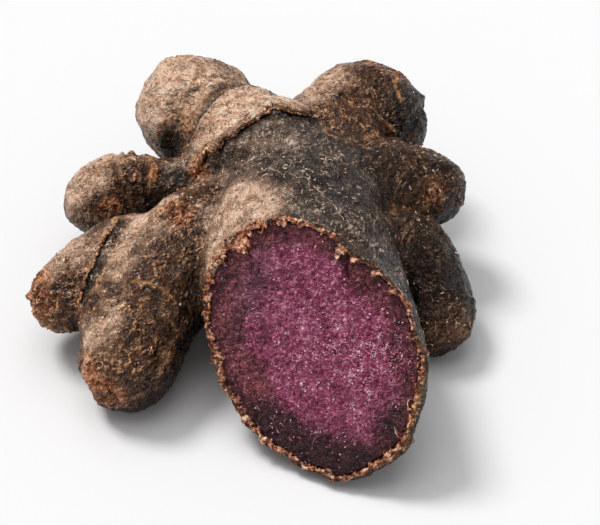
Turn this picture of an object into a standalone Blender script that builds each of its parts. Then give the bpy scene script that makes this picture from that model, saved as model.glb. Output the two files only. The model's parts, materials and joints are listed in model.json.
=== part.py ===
"""A hand of black ginger: one rhizome with its thick main finger sliced across, in one solid body.

The body lies on its belly with +Z up. The sliced finger points to -Y, and the origin is the middle of
the body's box at the surface that it rests on.
"""

import math

import bmesh
import bpy
import numpy as np
from mathutils import Vector, noise

MM = 0.001

# The fingers, each a run of stations (x, y, z, radius) in millimetres from its root to its tip.
FINGERS = {
    "main": (
        (6.0, 28.0, 13.2, 13.0),
        (4.5, 19.0, 15.6, 16.4),
        (3.0, 7.0, 17.0, 17.6),
        (4.0, -9.0, 17.7, 18.0),
        (6.0, -23.0, 17.8, 18.4),
        (8.0, -34.0, 17.2, 17.8),
        (9.5, -47.0, 16.0, 13.0),
    ),
    "back_left": (
        (1.5, 16.0, 21.8, 12.8),
        (-5.5, 25.0, 22.3, 11.2),
        (-11.8, 33.0, 21.4, 9.5),
        (-15.6, 38.0, 20.6, 11.0),
        (-18.5, 40.2, 20.1, 11.3),
    ),
    "back_right": (
        (7.5, 23.0, 19.0, 12.0),
        (10.5, 33.0, 20.5, 10.2),
        (13.5, 39.5, 20.8, 9.9),
        (17.5, 40.0, 20.2, 9.4),
        (20.5, 38.5, 19.2, 8.7),
    ),
    "right": (
        (9.5, 13.0, 20.0, 11.0),
        (18.5, 17.0, 19.5, 9.2),
        (24.0, 18.2, 18.6, 8.2),
        (28.0, 18.0, 18.0, 7.7),
    ),
    "right_front": (
        (13.5, 6.0, 15.0, 10.0),
        (21.5, 4.5, 13.4, 8.6),
        (26.3, 2.4, 11.0, 7.8),
        (28.7, -1.8, 8.7, 7.5),
        (29.3, -6.2, 6.8, 7.3),
    ),
    "left": (
        (-2.5, 13.0, 17.0, 10.0),
        (-14.5, 5.0, 16.0, 10.6),
        (-21.8, -4.0, 13.4, 10.7),
        (-25.6, -11.8, 11.0, 10.1),
        (-27.4, -18.7, 9.0, 9.4),
    ),
    "left_tip": (
        (-20.5, 1.0, 15.0, 9.0),
        (-29.5, 1.0, 14.0, 8.4),
        (-36.5, -1.5, 12.0, 7.6),
        (-39.7, -5.0, 10.8, 7.0),
    ),
    "left_back": (
        (-6.5, 17.0, 17.0, 6.5),
        (-16.5, 21.0, 16.0, 6.2),
        (-25.5, 22.5, 15.0, 6.0),
        (-32.0, 21.8, 14.2, 7.6),
        (-35.8, 20.6, 13.6, 7.3),
    ),
    "bud": (
        (-12.0, 18.5, 20.0, 4.2),
        (-18.0, 19.5, 20.8, 2.8),
        (-20.6, 19.8, 21.0, 2.1),
    ),
}

# The scars where leaf scales grew: finger, how far each ring lies before the middle of the finger's
# round tip, how far it leans from one side of the finger to the other, and how far it stands up.
RINGS = (
    ("back_left", 16.0, 1.5, 0.7),
    ("back_left", 11.5, 0.8, 0.35),
    ("back_left", 2.0, -1.2, 0.3),
    ("back_right", 13.0, 1.0, 0.5),
    ("back_right", -4.2, 0.4, 0.9),
    ("right", 6.5, 1.0, 0.5),
    ("right_front", 2.5, -1.0, 0.4),
    ("left", 6.0, 1.8, 0.5),
    ("left_tip", 1.0, 1.0, 0.3),
    ("left_back", 9.8, 0.8, 0.7),
    ("left_back", 6.3, -0.8, 0.8),
)
RING_WIDTH = 1.0

# Ragged edges of old scales: the middle of the edge, the way from it towards the scale, how far the
# edge stands up, how far it runs to each side, and how far back the scale stays thick.
SCALE_EDGES = (
    ((-4.0, 19.5, 31.0), (-0.30, 0.95, -0.12), 1.1, 14.5, 9.0),
    ((-34.5, -5.5, 18.0), (0.94, -0.34, 0.0), 0.7, 13.0, 5.0),
    ((17.4, -2.0, 28.0), (-1.0, 0.1, 0.0), 0.6, 12.0, 5.0),
)

# The slice through the main finger.
CUT_POINT = (6.0, -27.0, 18.0)
CUT_FACING = (-0.33, -0.74, 0.58)
LIP_STEPS = (  # how far in from the outline, and how far out of the cut, in millimetres
    (0.15, 0.75),
    (0.85, 0.95),
    (1.60, -0.25),
)
FLESH_RINGS = (0.82, 0.64, 0.46, 0.28, 0.12)  # shares of the outline's own size
FLESH_RELIEF = 0.35

LUMPS = ((15.0, 0.9), (6.5, 0.65), (3.4, 0.4))  # size and height of the swellings, in millimetres
WRINKLE_HEIGHT = 0.22
VOXEL = 0.95 * MM
SKIN_TRIANGLES = 8400

SKIN_COLOUR = (0.115, 0.075, 0.052, 1.0)
FLESH_COLOUR = (0.165, 0.035, 0.085, 1.0)


def clear_scene():
    for thing in list(bpy.data.objects):
        bpy.data.objects.remove(thing)


def material(name, colour, roughness):
    made = bpy.data.materials.new(name)
    made.use_nodes = True
    shader = made.node_tree.nodes["Principled BSDF"]
    shader.inputs["Base Color"].default_value = colour
    shader.inputs["Roughness"].default_value = roughness
    shader.inputs["Metallic"].default_value = 0.0
    return made


def smooth_run(stations, steps=6):
    """A Catmull-Rom run of (x, y, z, radius) rows through the stations, in millimetres."""
    rows = np.array(stations, float)
    rows = np.vstack([2 * rows[0] - rows[1], rows, 2 * rows[-1] - rows[-2]])
    run = []
    for before, start, end, after in zip(rows, rows[1:], rows[2:], rows[3:]):
        for t in np.arange(steps) / steps:
            run.append(
                start
                + 0.5 * t * (end - before)
                + t**2 * (before - 2.5 * start + 2 * end - 0.5 * after)
                + t**3 * (1.5 * (start - end) + 0.5 * (after - before))
            )
    run.append(rows[-2])
    return np.array(run)


def round_end(row, inward, steps=7):
    """Rows that close a tube with a half ball at one end, from its rim to its pole."""
    outward = row[:3] - inward[:3]
    outward /= np.linalg.norm(outward)
    rows = []
    for step in range(1, steps + 1):
        angle = math.radians(87) * step / steps
        centre = row[:3] + outward * row[3] * math.sin(angle)
        rows.append([*centre, row[3] * math.cos(angle)])
    return np.array(rows)


def finger_mesh(name, stations):
    """A round-ended tube along one finger, made from a bevelled curve."""
    run = smooth_run(stations)
    tip = round_end(run[-1], run[-2])
    root = round_end(run[0], run[1])[::-1]
    run = np.vstack([root, run, tip])
    curve = bpy.data.curves.new(name, "CURVE")
    curve.dimensions = "3D"
    curve.bevel_depth = MM
    curve.bevel_resolution = 10
    curve.use_fill_caps = True
    spline = curve.splines.new("POLY")
    spline.points.add(len(run) - 1)
    for point, (x, y, z, radius) in zip(spline.points, run):
        point.co = (x * MM, y * MM, z * MM, 1.0)
        point.radius = radius
    guide = bpy.data.objects.new(name, curve)
    bpy.context.scene.collection.objects.link(guide)
    graph = bpy.context.evaluated_depsgraph_get()
    mesh = bpy.data.meshes.new_from_object(guide.evaluated_get(graph))
    bpy.data.objects.remove(guide)
    return mesh


def joined_fingers():
    """All the fingers in one mesh, still as bodies that run through each other."""
    shape = bmesh.new()
    for name, stations in FINGERS.items():
        mesh = finger_mesh(name, stations)
        shape.from_mesh(mesh)
        bpy.data.meshes.remove(mesh)
    bmesh.ops.remove_doubles(shape, verts=shape.verts, dist=0.01 * MM)
    bmesh.ops.recalc_face_normals(shape, faces=shape.faces)
    joined = bpy.data.meshes.new("rhizome")
    shape.to_mesh(joined)
    shape.free()
    return joined


def apply_modifiers(thing):
    graph = bpy.context.evaluated_depsgraph_get()
    mesh = bpy.data.meshes.new_from_object(thing.evaluated_get(graph))
    thing.modifiers.clear()
    old = thing.data
    thing.data = mesh
    bpy.data.meshes.remove(old)


def grow_together(thing):
    """Makes the fingers one skin and fills the creases between them."""
    remesh = thing.modifiers.new("one_skin", "REMESH")
    remesh.mode = "VOXEL"
    remesh.voxel_size = VOXEL
    smooth = thing.modifiers.new("soft_creases", "SMOOTH")
    smooth.factor = 0.5
    smooth.iterations = 8
    apply_modifiers(thing)


def finger_places(points):
    """Where each point, in millimetres, lies on the fingers.

    Returns each point's gap to every finger's surface, and its place along each from 0 to 1, its distance
    along each and its angle round each, as arrays with a column for each finger.
    """
    gaps, shares, lengths, angles = [], [], [], []
    for stations in FINGERS.values():
        run = smooth_run(stations)
        start, end = run[:-1], run[1:]
        step = end[:, :3] - start[:, :3]
        size = np.linalg.norm(step, axis=1)
        before = np.concatenate([[0.0], np.cumsum(size)[:-1]])
        away = points[:, None, :] - start[None, :, :3]
        t = np.clip((away * step).sum(2) / size**2, 0, 1)
        off = away - t[..., None] * step
        gap = np.linalg.norm(off, axis=2) - start[:, 3] - t * (end[:, 3] - start[:, 3])
        best = gap.argmin(1)
        row = np.arange(len(points))
        along = before[best] + t[row, best] * size[best]
        past = ((points - run[-1, :3]) @ (step[-1] / size[-1])).clip(0)
        along = along + np.where(best == len(step) - 1, past, 0)
        side = np.cross(step[best], (0, 0, 1.0))
        up = np.cross(side, step[best])
        out = off[row, best]
        across = (out * side).sum(1) / np.linalg.norm(side, axis=1)
        rise = (out * up).sum(1) / np.linalg.norm(up, axis=1)
        gaps.append(gap[row, best])
        shares.append(along / size.sum())
        lengths.append(along)
        angles.append(np.arctan2(rise, across))
    return tuple(np.array(rows).T for rows in (gaps, shares, lengths, angles))


def run_length(name):
    run = smooth_run(FINGERS[name])
    return np.linalg.norm(np.diff(run[:, :3], axis=0), axis=1).sum()


def noise_at(points, size, seed=0.0):
    """Smooth noise from -1 to 1 with swellings of about this size, in millimetres."""
    return np.array([noise.noise(Vector(p) / size + Vector((seed, seed, seed))) for p in points])


def smoothstep(values, low, high):
    t = np.clip((values - low) / (high - low), 0, 1)
    return t * t * (3 - 2 * t)


def ownership(gaps):
    """How far each point belongs to each finger alone, from 0 near any other finger to 1."""
    shares = []
    for column in range(gaps.shape[1]):
        others = np.delete(gaps, column, axis=1).min(1)
        shares.append(smoothstep(others - gaps[:, column], 0.3, 2.2))
    return np.array(shares).T


def relief(points):
    """How far the skin stands out at each point: swellings, wrinkles, ring scars and scale edges."""
    names = list(FINGERS)
    gaps, shares, lengths, angles = finger_places(points)
    height = sum(rise * noise_at(points, size, seed=size) for size, rise in LUMPS)

    waves = noise_at(points, 5.0, seed=3.0)
    own = ownership(gaps)
    height += WRINKLE_HEIGHT * (own * np.sin(9 * angles + 4 * waves[:, None])).sum(1)

    wobble = noise_at(points, 4.0, seed=7.0)
    for name, before, lean, rise in RINGS:
        column = names.index(name)
        ring = run_length(name) - before + lean * np.cos(angles[:, column]) + 0.7 * wobble
        past = (lengths[:, column] - ring) / RING_WIDTH
        height += own[:, column] * rise * (np.exp(-(past**2)) - 0.6 * np.exp(-((past - 1.7) ** 2)))

    for middle, way, rise, reach, thick in SCALE_EDGES:
        away = points - np.array(middle)
        lead = away @ (np.array(way) / np.linalg.norm(way)) + 0.8 * wobble
        side = np.sqrt(((away**2).sum(1) - lead**2).clip(0))
        scale = smoothstep(lead, -0.4, 0.5) * np.exp(-((lead.clip(0) / thick) ** 2))
        gap_under = np.exp(-(((lead + 0.9) / 0.7) ** 2))
        height += rise * (scale - 0.45 * gap_under) * (1 - smoothstep(side, reach - 3, reach))
    return height


def raise_skin(thing):
    """Moves the skin along its normals by the relief, but for the belly that the body rests on."""
    mesh = thing.data
    count = len(mesh.vertices)
    places, normals = np.empty(count * 3), np.empty(count * 3)
    mesh.vertices.foreach_get("co", places)
    mesh.vertices.foreach_get("normal", normals)
    places, normals = places.reshape(-1, 3), normals.reshape(-1, 3)
    height = relief(places / MM)
    places += normals * height[:, None] * MM
    mesh.vertices.foreach_set("co", places.ravel())
    mesh.update()


def thin_out(thing):
    """Fewer triangles, kept where the surface bends."""
    now = sum(len(face.vertices) - 2 for face in thing.data.polygons)
    decimate = thing.modifiers.new("fewer_faces", "DECIMATE")
    decimate.ratio = SKIN_TRIANGLES / now
    apply_modifiers(thing)


def boundary_loops(shape):
    """The open edges as closed runs of vertices."""
    left = {edge for edge in shape.edges if edge.is_boundary}
    loops = []
    while left:
        edge = left.pop()
        run = [edge.verts[0], edge.verts[1]]
        while run[-1] is not run[0]:
            ahead = next(e for e in run[-1].link_edges if e in left)
            left.discard(ahead)
            run.append(ahead.other_vert(run[-1]))
        loops.append(run[:-1])
    return loops


def rim_edges(vert):
    return [edge for edge in vert.link_edges if edge.is_boundary]


def slice_main_finger(shape):
    """Cuts the main finger's end off and closes it with a raised lip of peel and the flesh inside it."""
    names = list(FINGERS)
    points = np.array([vert.co for vert in shape.verts]) / MM
    gaps = finger_places(points)[0]
    own = gaps.argmin(1) == names.index("main")
    mine = [vert for vert, is_own in zip(shape.verts, own) if is_own]
    facing = Vector(CUT_FACING).normalized()
    middle = Vector(CUT_POINT) * MM
    faces = list({face for vert in mine for face in vert.link_faces})
    edges = list({edge for face in faces for edge in face.edges})
    verts = list({vert for face in faces for vert in face.verts})
    bmesh.ops.bisect_plane(
        shape, geom=verts + edges + faces, plane_co=middle, plane_no=facing, clear_outer=True, dist=0.05 * MM
    )
    outline = max(boundary_loops(shape), key=len)
    short = [vert for vert in outline if min(edge.calc_length() for edge in rim_edges(vert)) < 0.45 * MM]
    short_edges = {edge for vert in short for edge in rim_edges(vert) if edge.calc_length() < 0.45 * MM}
    bmesh.ops.collapse(shape, edges=list(short_edges))
    outline = max(boundary_loops(shape), key=len)
    centre = sum((vert.co for vert in outline), Vector()) / len(outline)
    ring = outline
    number = 0
    for inward, outward in LIP_STEPS:
        number += 1
        ring = draw_ring(shape, ring, outline, centre, facing, inward * MM, outward * MM, number)
    for share in FLESH_RINGS:
        number += 1
        ring = draw_ring(shape, ring, outline, centre, facing, None, share, number)
    for face in bmesh.ops.contextual_create(shape, geom=ring)["faces"]:
        face.material_index = 1


def draw_ring(shape, ring, outline, centre, facing, inward, outward, number):
    """One more ring of faces inside the last one. With inward set it is part of the lip, otherwise flesh."""
    made = []
    for vert, rim in zip(ring, outline):
        spoke = centre - rim.co
        spoke -= facing * spoke.dot(facing)
        place = Vector(rim.co) / MM
        if inward is None:
            target = rim.co + spoke * (1 - outward)
            rough = noise.noise(target / MM / 4.0) * FLESH_RELIEF * outward * MM
            target = target + facing * (rough - 0.15 * MM)
        else:
            rough = noise.noise(place / 1.6 + Vector((number, 0, 0)))
            target = rim.co + spoke.normalized() * inward * (1 + 0.5 * rough)
            target = target + facing * outward * (1 + 0.7 * rough)
        made.append(shape.verts.new(target))
    for here, after in zip(range(len(ring)), [*range(1, len(ring)), 0]):
        face = shape.faces.new((ring[here], ring[after], made[after], made[here]))
        face.material_index = 1 if inward is None else 0
    return made


def flatten_belly(shape):
    """Presses what reaches below the surface flat, which leaves the small flats that the body rests on."""
    for vert in shape.verts:
        vert.co.z = max(vert.co.z, 0.0)


def finish_solid(thing):
    """Slices the finger, flattens the belly, and puts the origin under the middle of the body."""
    shape = bmesh.new()
    shape.from_mesh(thing.data)
    slice_main_finger(shape)
    flatten_belly(shape)
    bmesh.ops.triangulate(shape, faces=shape.faces)
    bmesh.ops.recalc_face_normals(shape, faces=shape.faces)
    places = np.array([vert.co for vert in shape.verts])
    low, high = places.min(0), places.max(0)
    shift = Vector((-(low[0] + high[0]) / 2, -(low[1] + high[1]) / 2, -low[2]))
    bmesh.ops.translate(shape, verts=shape.verts, vec=shift)
    shape.to_mesh(thing.data)
    shape.free()
    thing.data.shade_smooth()
    thing.data.set_sharp_from_angle(angle=math.radians(40))
    print("moved by, in mm:", [round(value / MM, 2) for value in shift])
    print("size in mm:", [round(float(value) / MM, 1) for value in high - low])


def main():
    clear_scene()
    parts = bpy.data.collections.new("black_ginger")
    bpy.context.scene.collection.children.link(parts)
    rhizome = bpy.data.objects.new("rhizome", joined_fingers())
    parts.objects.link(rhizome)
    grow_together(rhizome)
    raise_skin(rhizome)
    thin_out(rhizome)
    rhizome.data.materials.clear()
    rhizome.data.materials.append(material("skin", SKIN_COLOUR, 0.55))
    rhizome.data.materials.append(material("flesh", FLESH_COLOUR, 0.35))
    finish_solid(rhizome)


main()
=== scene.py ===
"""The looks of a hand of black ginger: scaly peel with lifted scale edges, and a slanted cut that shows
granular purple flesh inside a ragged copper rim.

Lengths in this script are millimetres in the frame of the CAD model, unless a name says otherwise.
"""

import json
import math

import bpy
import numpy as np
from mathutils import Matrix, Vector, noise
from mathutils.bvhtree import BVHTree
from mathutils.kdtree import KDTree

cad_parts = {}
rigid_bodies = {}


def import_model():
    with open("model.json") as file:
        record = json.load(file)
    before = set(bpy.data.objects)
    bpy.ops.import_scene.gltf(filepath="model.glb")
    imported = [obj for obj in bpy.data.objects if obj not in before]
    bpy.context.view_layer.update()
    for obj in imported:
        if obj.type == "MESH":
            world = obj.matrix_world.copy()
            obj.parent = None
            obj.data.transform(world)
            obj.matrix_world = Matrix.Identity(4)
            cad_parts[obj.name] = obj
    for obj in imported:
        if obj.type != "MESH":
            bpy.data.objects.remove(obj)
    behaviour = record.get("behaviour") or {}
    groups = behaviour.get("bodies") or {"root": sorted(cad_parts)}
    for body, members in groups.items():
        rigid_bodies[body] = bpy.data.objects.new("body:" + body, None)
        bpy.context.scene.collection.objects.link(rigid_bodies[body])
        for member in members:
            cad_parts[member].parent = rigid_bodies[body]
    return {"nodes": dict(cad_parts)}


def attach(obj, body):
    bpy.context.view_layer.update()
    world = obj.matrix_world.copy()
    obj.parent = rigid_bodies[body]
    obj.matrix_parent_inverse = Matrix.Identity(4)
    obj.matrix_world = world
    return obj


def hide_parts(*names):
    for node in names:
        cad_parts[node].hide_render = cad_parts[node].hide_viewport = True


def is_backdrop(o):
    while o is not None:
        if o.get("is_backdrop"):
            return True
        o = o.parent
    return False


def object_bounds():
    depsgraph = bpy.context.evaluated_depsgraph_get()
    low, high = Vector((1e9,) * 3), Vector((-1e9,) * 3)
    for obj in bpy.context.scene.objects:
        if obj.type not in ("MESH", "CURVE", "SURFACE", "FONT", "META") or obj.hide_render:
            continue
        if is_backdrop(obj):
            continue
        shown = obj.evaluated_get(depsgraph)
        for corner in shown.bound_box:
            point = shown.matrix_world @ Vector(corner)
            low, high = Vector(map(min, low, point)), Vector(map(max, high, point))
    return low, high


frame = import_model()
CAD_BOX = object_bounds()

MM = 0.001
SEED = 7
PEEL_GRAIN = 0.28  # the size of the peel's faces
PEEL_SLICES = 4
SHADE_RAYS = 40  # how many ways are looked in, to see how shut in a place is
SHADE_REACH = 14.0  # how far off a finger still shades a place
FLESH_LINES = 210  # the flesh's faces in each direction
RIM_STEPS = 1100  # the rim's faces round the cut
LIP_SPACING = 0.12  # between the points along a lip or a fibre

# The photograph's camera.
CAMERA_AIM = (8.58, -5.21, 16.0)
CAMERA_HEIGHT_ANGLE = 42.0
CAMERA_DISTANCE = 310.0
CAMERA_LENS = 100.0

# The slice through the main finger.
CUT_MIDDLE = (11.08, -31.21, 18.0)
CUT_FACING = (-0.33, -0.74, 0.58)

# Each finger as a straight rod: root, tip, radius.
FINGERS = {
    "main": ((9.0, 20.0, 16.5), (12.0, -48.0, 17.0), 17.5),
    "back_left": ((3.0, 16.0, 22.0), (-13.5, 36.0, 20.1), 11.0),
    "back_right": ((13.0, 20.0, 20.0), (25.5, 34.3, 19.2), 9.5),
    "right": ((14.6, 9.0, 20.0), (33.0, 13.8, 18.0), 8.3),
    "right_front": ((22.0, 1.5, 14.0), (34.4, -10.4, 6.8), 7.6),
    "left": ((2.6, 8.8, 17.0), (-22.3, -22.9, 9.0), 10.3),
    "left_tip": ((-15.4, -3.2, 15.0), (-34.6, -9.2, 10.8), 7.8),
    "left_back": ((-1.4, 12.8, 17.0), (-30.7, 16.4, 13.6), 6.6),
    "bud": ((-6.9, 14.3, 20.0), (-15.5, 15.6, 21.0), 2.6),
}

# Ring scars: a point inside the finger, the way along the finger, the finger's radius, the ridge's height.
RINGS = {
    "left_knob_neck": ((-3.0, 24.1, 22.0), (-0.62, 0.78, -0.09), 10.5, 0.30),
    "right_knob_neck": ((16.3, 30.7, 20.7), (0.34, 0.94, 0.07), 10.1, 0.25),
    "right_knob_cap": ((29.1, 32.3, 18.0), (0.83, -0.47, -0.29), 8.7, 0.45),
    "right_finger": ((26.7, 13.7, 19.0), (0.97, 0.17, -0.19), 8.6, 0.25),
    "front_finger": ((34.2, -8.1, 7.8), (0.10, -0.92, -0.39), 7.4, 0.30),
    "far_knob_neck": ((-21.3, 18.3, 14.9), (-0.99, 0.01, -0.12), 6.0, 0.40),
    "far_knob": ((-24.7, 18.0, 14.5), (-0.98, -0.16, -0.12), 6.8, 0.45),
}

# Lifted edges of old scales: points along the edge, how high it stands, how far its thin lip reaches
# over the gap, how wide the raised scale is, and the way towards the scale.
SCALE_EDGES = {
    "sheath": (
        (
            (13.5, 20.0, 30.5), (11.0, 19.5, 31.5), (7.5, 18.0, 33.5), (4.0, 18.0, 34.5), (2.0, 16.0, 35.0),
            (0.0, 15.0, 34.0), (-3.0, 14.0, 32.5), (-5.0, 13.5, 31.0), (-7.0, 12.5, 29.5), (-9.0, 13.5, 27.5),
            (-10.5, 13.5, 24.5), (-11.5, 12.0, 22.0),
        ),
        0.9, 0.45, 4.5, (-0.3, 0.95, 0.1),
    ),
    "sheath_back": (
        (
            (3.5, 25.0, 32.0), (1.0, 26.0, 32.5), (-2.0, 27.0, 32.5), (-4.5, 25.5, 33.0), (-6.5, 23.5, 33.0),
            (-9.0, 20.5, 31.0), (-10.5, 19.5, 29.0), (-12.0, 20.5, 25.5), (-13.5, 21.5, 21.5),
        ),
        0.6, 0.12, 4.0, (0.6, -0.8, 0.1),
    ),
    "split": (
        (
            (14.5, 7.5, 32.5), (15.0, 6.0, 32.5), (16.0, 4.0, 32.0), (19.0, 3.5, 30.5), (21.0, 2.5, 29.5),
            (23.0, 1.5, 27.5), (23.5, 0.5, 27.0),
        ),
        0.8, 0.35, 2.5, (-1.0, -0.3, 0.2),
    ),
    "split_low": (
        ((22.0, -5.0, 30.0), (22.0, -10.5, 31.5), (22.5, -13.0, 31.0), (24.0, -16.5, 29.0)),
        0.7, 0.35, 2.5, (-1.0, 0.0, 0.2),
    ),
    "fork": (
        (
            (-25.5, 1.0, 22.5), (-25.5, -1.5, 22.5), (-26.5, -3.5, 22.0), (-28.0, -5.5, 20.5),
            (-29.0, -8.0, 19.0), (-30.0, -10.0, 18.0), (-31.0, -12.5, 16.0), (-31.5, -14.5, 15.0),
            (-31.0, -16.5, 14.5),
        ),
        0.5, 0.18, 2.5, (-0.9, -0.3, 0.1),
    ),
    "fork_side": (
        ((-27.5, -16.0, 19.0), (-27.0, -18.0, 19.0), (-27.5, -19.5, 18.5), (-29.0, -20.5, 16.0)),
        0.4, 0.12, 2.0, (0.9, -0.3, 0.1),
    ),
}

# Creases in the peel: points along the crease, its depth and its width.
CREASES = {
    "knob_cap": (
        ((0.0, 32.0, 29.5), (-1.0, 31.0, 30.0), (-3.0, 30.0, 31.0), (-5.5, 29.5, 31.0), (-10.0, 30.0, 30.5)),
        0.6, 0.55,
    ),
    "knob_cap_side": (((-10.0, 30.0, 30.5), (-12.5, 30.0, 29.5), (-14.5, 28.5, 27.5)), 0.4, 0.6),
    "knob_neck": (
        ((-1.5, 29.0, 32.0), (-4.5, 28.0, 32.5), (-8.0, 27.5, 31.5), (-11.0, 28.0, 30.0)),
        0.3, 0.5,
    ),
    "knob_hollow": (
        ((-14.5, 26.5, 25.5), (-16.0, 26.0, 24.0), (-17.0, 26.5, 21.5), (-17.5, 26.5, 19.0)),
        0.8, 0.6,
    ),
    "sheath_hole": (((-9.5, 13.5, 26.0), (-10.0, 12.5, 24.0)), 0.8, 0.6),
    "right_knob_fold": (
        ((27.5, 28.5, 25.5), (28.5, 27.5, 24.5), (28.5, 26.0, 22.5), (28.5, 25.5, 20.5)),
        0.7, 0.7,
    ),
    "far_knob_side": (((-20.5, 18.0, 21.0), (-21.5, 15.0, 20.5), (-22.0, 12.5, 18.5)), 0.5, 0.8),
    "knotty_place": (
        ((9.0, -2.0, 35.0), (11.5, -4.5, 35.0), (14.5, -3.0, 33.5), (16.0, 0.5, 32.5)),
        0.35, 0.9,
    ),
    "root_scars": (((-12.0, 2.5, 25.5), (-12.5, -0.5, 25.5), (-12.0, -3.5, 25.5)), 0.6, 0.7),
    "bud": (((-18.0, 13.0, 20.0), (-18.5, 15.0, 20.5), (-18.0, 17.5, 20.5)), 0.6, 0.6),
}

# Raised lines: points along the line, its height and its width.
RIDGES = {
    "knob_rib": (
        ((-12.5, 27.0, 28.5), (-13.5, 25.5, 26.5), (-14.0, 24.0, 24.5), (-14.0, 23.5, 21.5)),
        0.6, 0.4,
    ),
    "knob_rib_low": (
        ((-11.0, 25.5, 30.0), (-11.5, 23.5, 28.5), (-13.0, 23.0, 26.0), (-13.0, 21.5, 23.5)),
        0.6, 0.4,
    ),
    "hollow_rim": (
        (
            (-13.0, 26.0, 27.0), (-14.5, 26.5, 26.5), (-17.5, 27.5, 25.0), (-19.0, 27.0, 23.5),
            (-20.0, 27.5, 19.0),
        ),
        0.4, 0.4,
    ),
    "fork_ring": (
        ((-24.5, -16.5, 20.0), (-22.0, -16.5, 21.5), (-17.0, -17.5, 21.5), (-13.0, -19.5, 18.5)),
        0.2, 0.25,
    ),
    "fork_scar": (((-15.0, -22.0, 17.5), (-14.0, -22.0, 16.0), (-12.5, -22.0, 12.0)), 0.2, 0.25),
    "fork_side": (((-28.0, -11.5, 18.5), (-28.0, -14.5, 18.5), (-27.5, -16.5, 19.0)), 0.25, 0.3),
    "front_edge": (
        ((-27.5, -26.0, 14.5), (-28.5, -26.5, 13.5), (-29.5, -27.5, 12.0), (-29.5, -28.0, 8.0)),
        0.5, 0.45,
    ),
    "far_knob_ridge": (
        (
            (-20.5, 21.5, 20.0), (-20.5, 18.5, 21.0), (-20.0, 16.0, 20.5), (-20.5, 13.5, 19.0),
            (-20.5, 12.5, 17.5),
        ),
        0.6, 0.4,
    ),
    "far_knob_crest": (
        (
            (-31.5, 14.0, 20.0), (-30.0, 15.5, 21.5), (-27.5, 17.0, 22.0), (-25.5, 17.5, 21.5),
            (-24.0, 22.0, 20.5),
        ),
        0.3, 0.4,
    ),
    "right_knob_crest": (
        ((28.0, 38.5, 27.5), (28.0, 36.0, 28.0), (27.5, 33.5, 28.0), (29.0, 30.5, 26.0)),
        0.35, 0.4,
    ),
    "right_knob_foot": (
        ((20.5, 27.5, 29.0), (22.0, 27.0, 28.0), (23.5, 26.5, 26.5), (25.0, 26.5, 25.0), (28.0, 26.0, 21.5)),
        0.3, 0.3,
    ),
    "shoulder": (
        ((12.0, 19.0, 31.0), (13.0, 16.5, 31.0), (13.5, 13.0, 32.0), (17.0, 12.5, 31.0), (22.0, 12.0, 29.0)),
        0.25, 0.22,
    ),
}

# Thin dry fibres that lie on the trunk: points along each.
FIBRE_LINES = (
    (
        (-4.5, 2.0, 29.0), (-2.5, 0.5, 31.0), (-0.5, 0.0, 32.0), (1.0, 0.5, 33.0), (3.0, 1.0, 33.5),
        (4.0, 0.0, 33.5), (5.0, -2.0, 34.5), (6.0, -3.5, 34.5),
    ),
    ((6.5, -2.0, 34.5), (8.0, -3.5, 35.0), (9.5, -4.0, 35.0), (11.0, -6.0, 35.0)),
    ((12.0, -8.0, 34.5), (14.0, -10.0, 34.5), (15.0, -13.0, 34.0), (16.5, -15.5, 34.0)),
    ((13.5, 2.0, 33.5), (15.0, 1.0, 33.0), (15.5, -1.0, 33.0)),
)

# Knots and old root scars: the middle, the radius and the height.
KNOTS = (
    ((-15.5, 1.0, 25.5), 1.0, 0.8), ((-14.0, -1.0, 25.5), 1.2, 1.0), ((-13.5, -2.5, 26.0), 1.2, 1.0),
    ((-13.5, -4.5, 26.0), 0.9, 0.7), ((-13.0, 3.0, 25.5), 0.8, 0.6), ((-12.0, 4.5, 25.5), 0.9, 0.6),
    ((28.5, 39.0, 27.5), 0.9, 0.6), ((22.5, 40.0, 28.5), 0.8, 0.5), ((33.5, 7.5, 22.5), 0.8, 0.4),
    ((-26.5, -30.5, 8.5), 1.1, 0.7), ((-25.5, -31.0, 6.5), 1.3, 0.6), ((-39.0, -13.5, 13.5), 0.9, 0.6),
    ((-40.0, -11.5, 15.0), 1.0, 0.7), ((-41.0, -10.0, 12.0), 1.2, 0.8), ((-40.5, -13.0, 11.0), 1.0, 0.7),
    ((-37.5, -15.0, 9.0), 1.0, 0.5), ((-29.5, 9.0, 15.5), 0.7, 0.6), ((-27.5, 9.5, 16.0), 0.7, 0.6),
    ((-24.5, 22.0, 20.5), 1.0, 0.7),
)

# How much of each finish the peel shows: middle of the place, its radius, and the amount.
TAN_PLACES = (
    ((-15.0, 34.0, 28.0), 11.0, 1.0),
    ((-20.5, 32.0, 24.0), 7.0, 0.9),
    ((-4.0, 36.0, 30.0), 6.0, 0.5),
    ((-3.0, 19.5, 33.0), 9.0, 1.1),
    ((4.0, 21.5, 33.5), 6.5, 1.0),
    ((-9.5, 16.0, 28.0), 6.0, 1.0),
    ((-3.5, -8.0, 30.5), 8.0, 0.85),
    ((2.0, -11.0, 33.0), 6.0, 0.6),
    ((-6.5, -14.0, 27.0), 5.0, 0.8),
    ((-21.0, -1.5, 23.0), 7.0, 0.70),
    ((-24.0, -8.0, 21.5), 7.0, 0.45),
    ((-33.0, -6.0, 18.0), 6.0, 0.50),
    ((-27.0, -22.5, 16.0), 5.0, 0.65),
    ((-35.0, 16.5, 17.5), 7.0, 0.95),
    ((-29.0, 19.5, 20.5), 5.0, 0.80),
    ((12.0, 34.5, 28.5), 7.0, 0.60),
    ((9.0, 28.0, 29.5), 5.0, 0.50),
)
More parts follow.
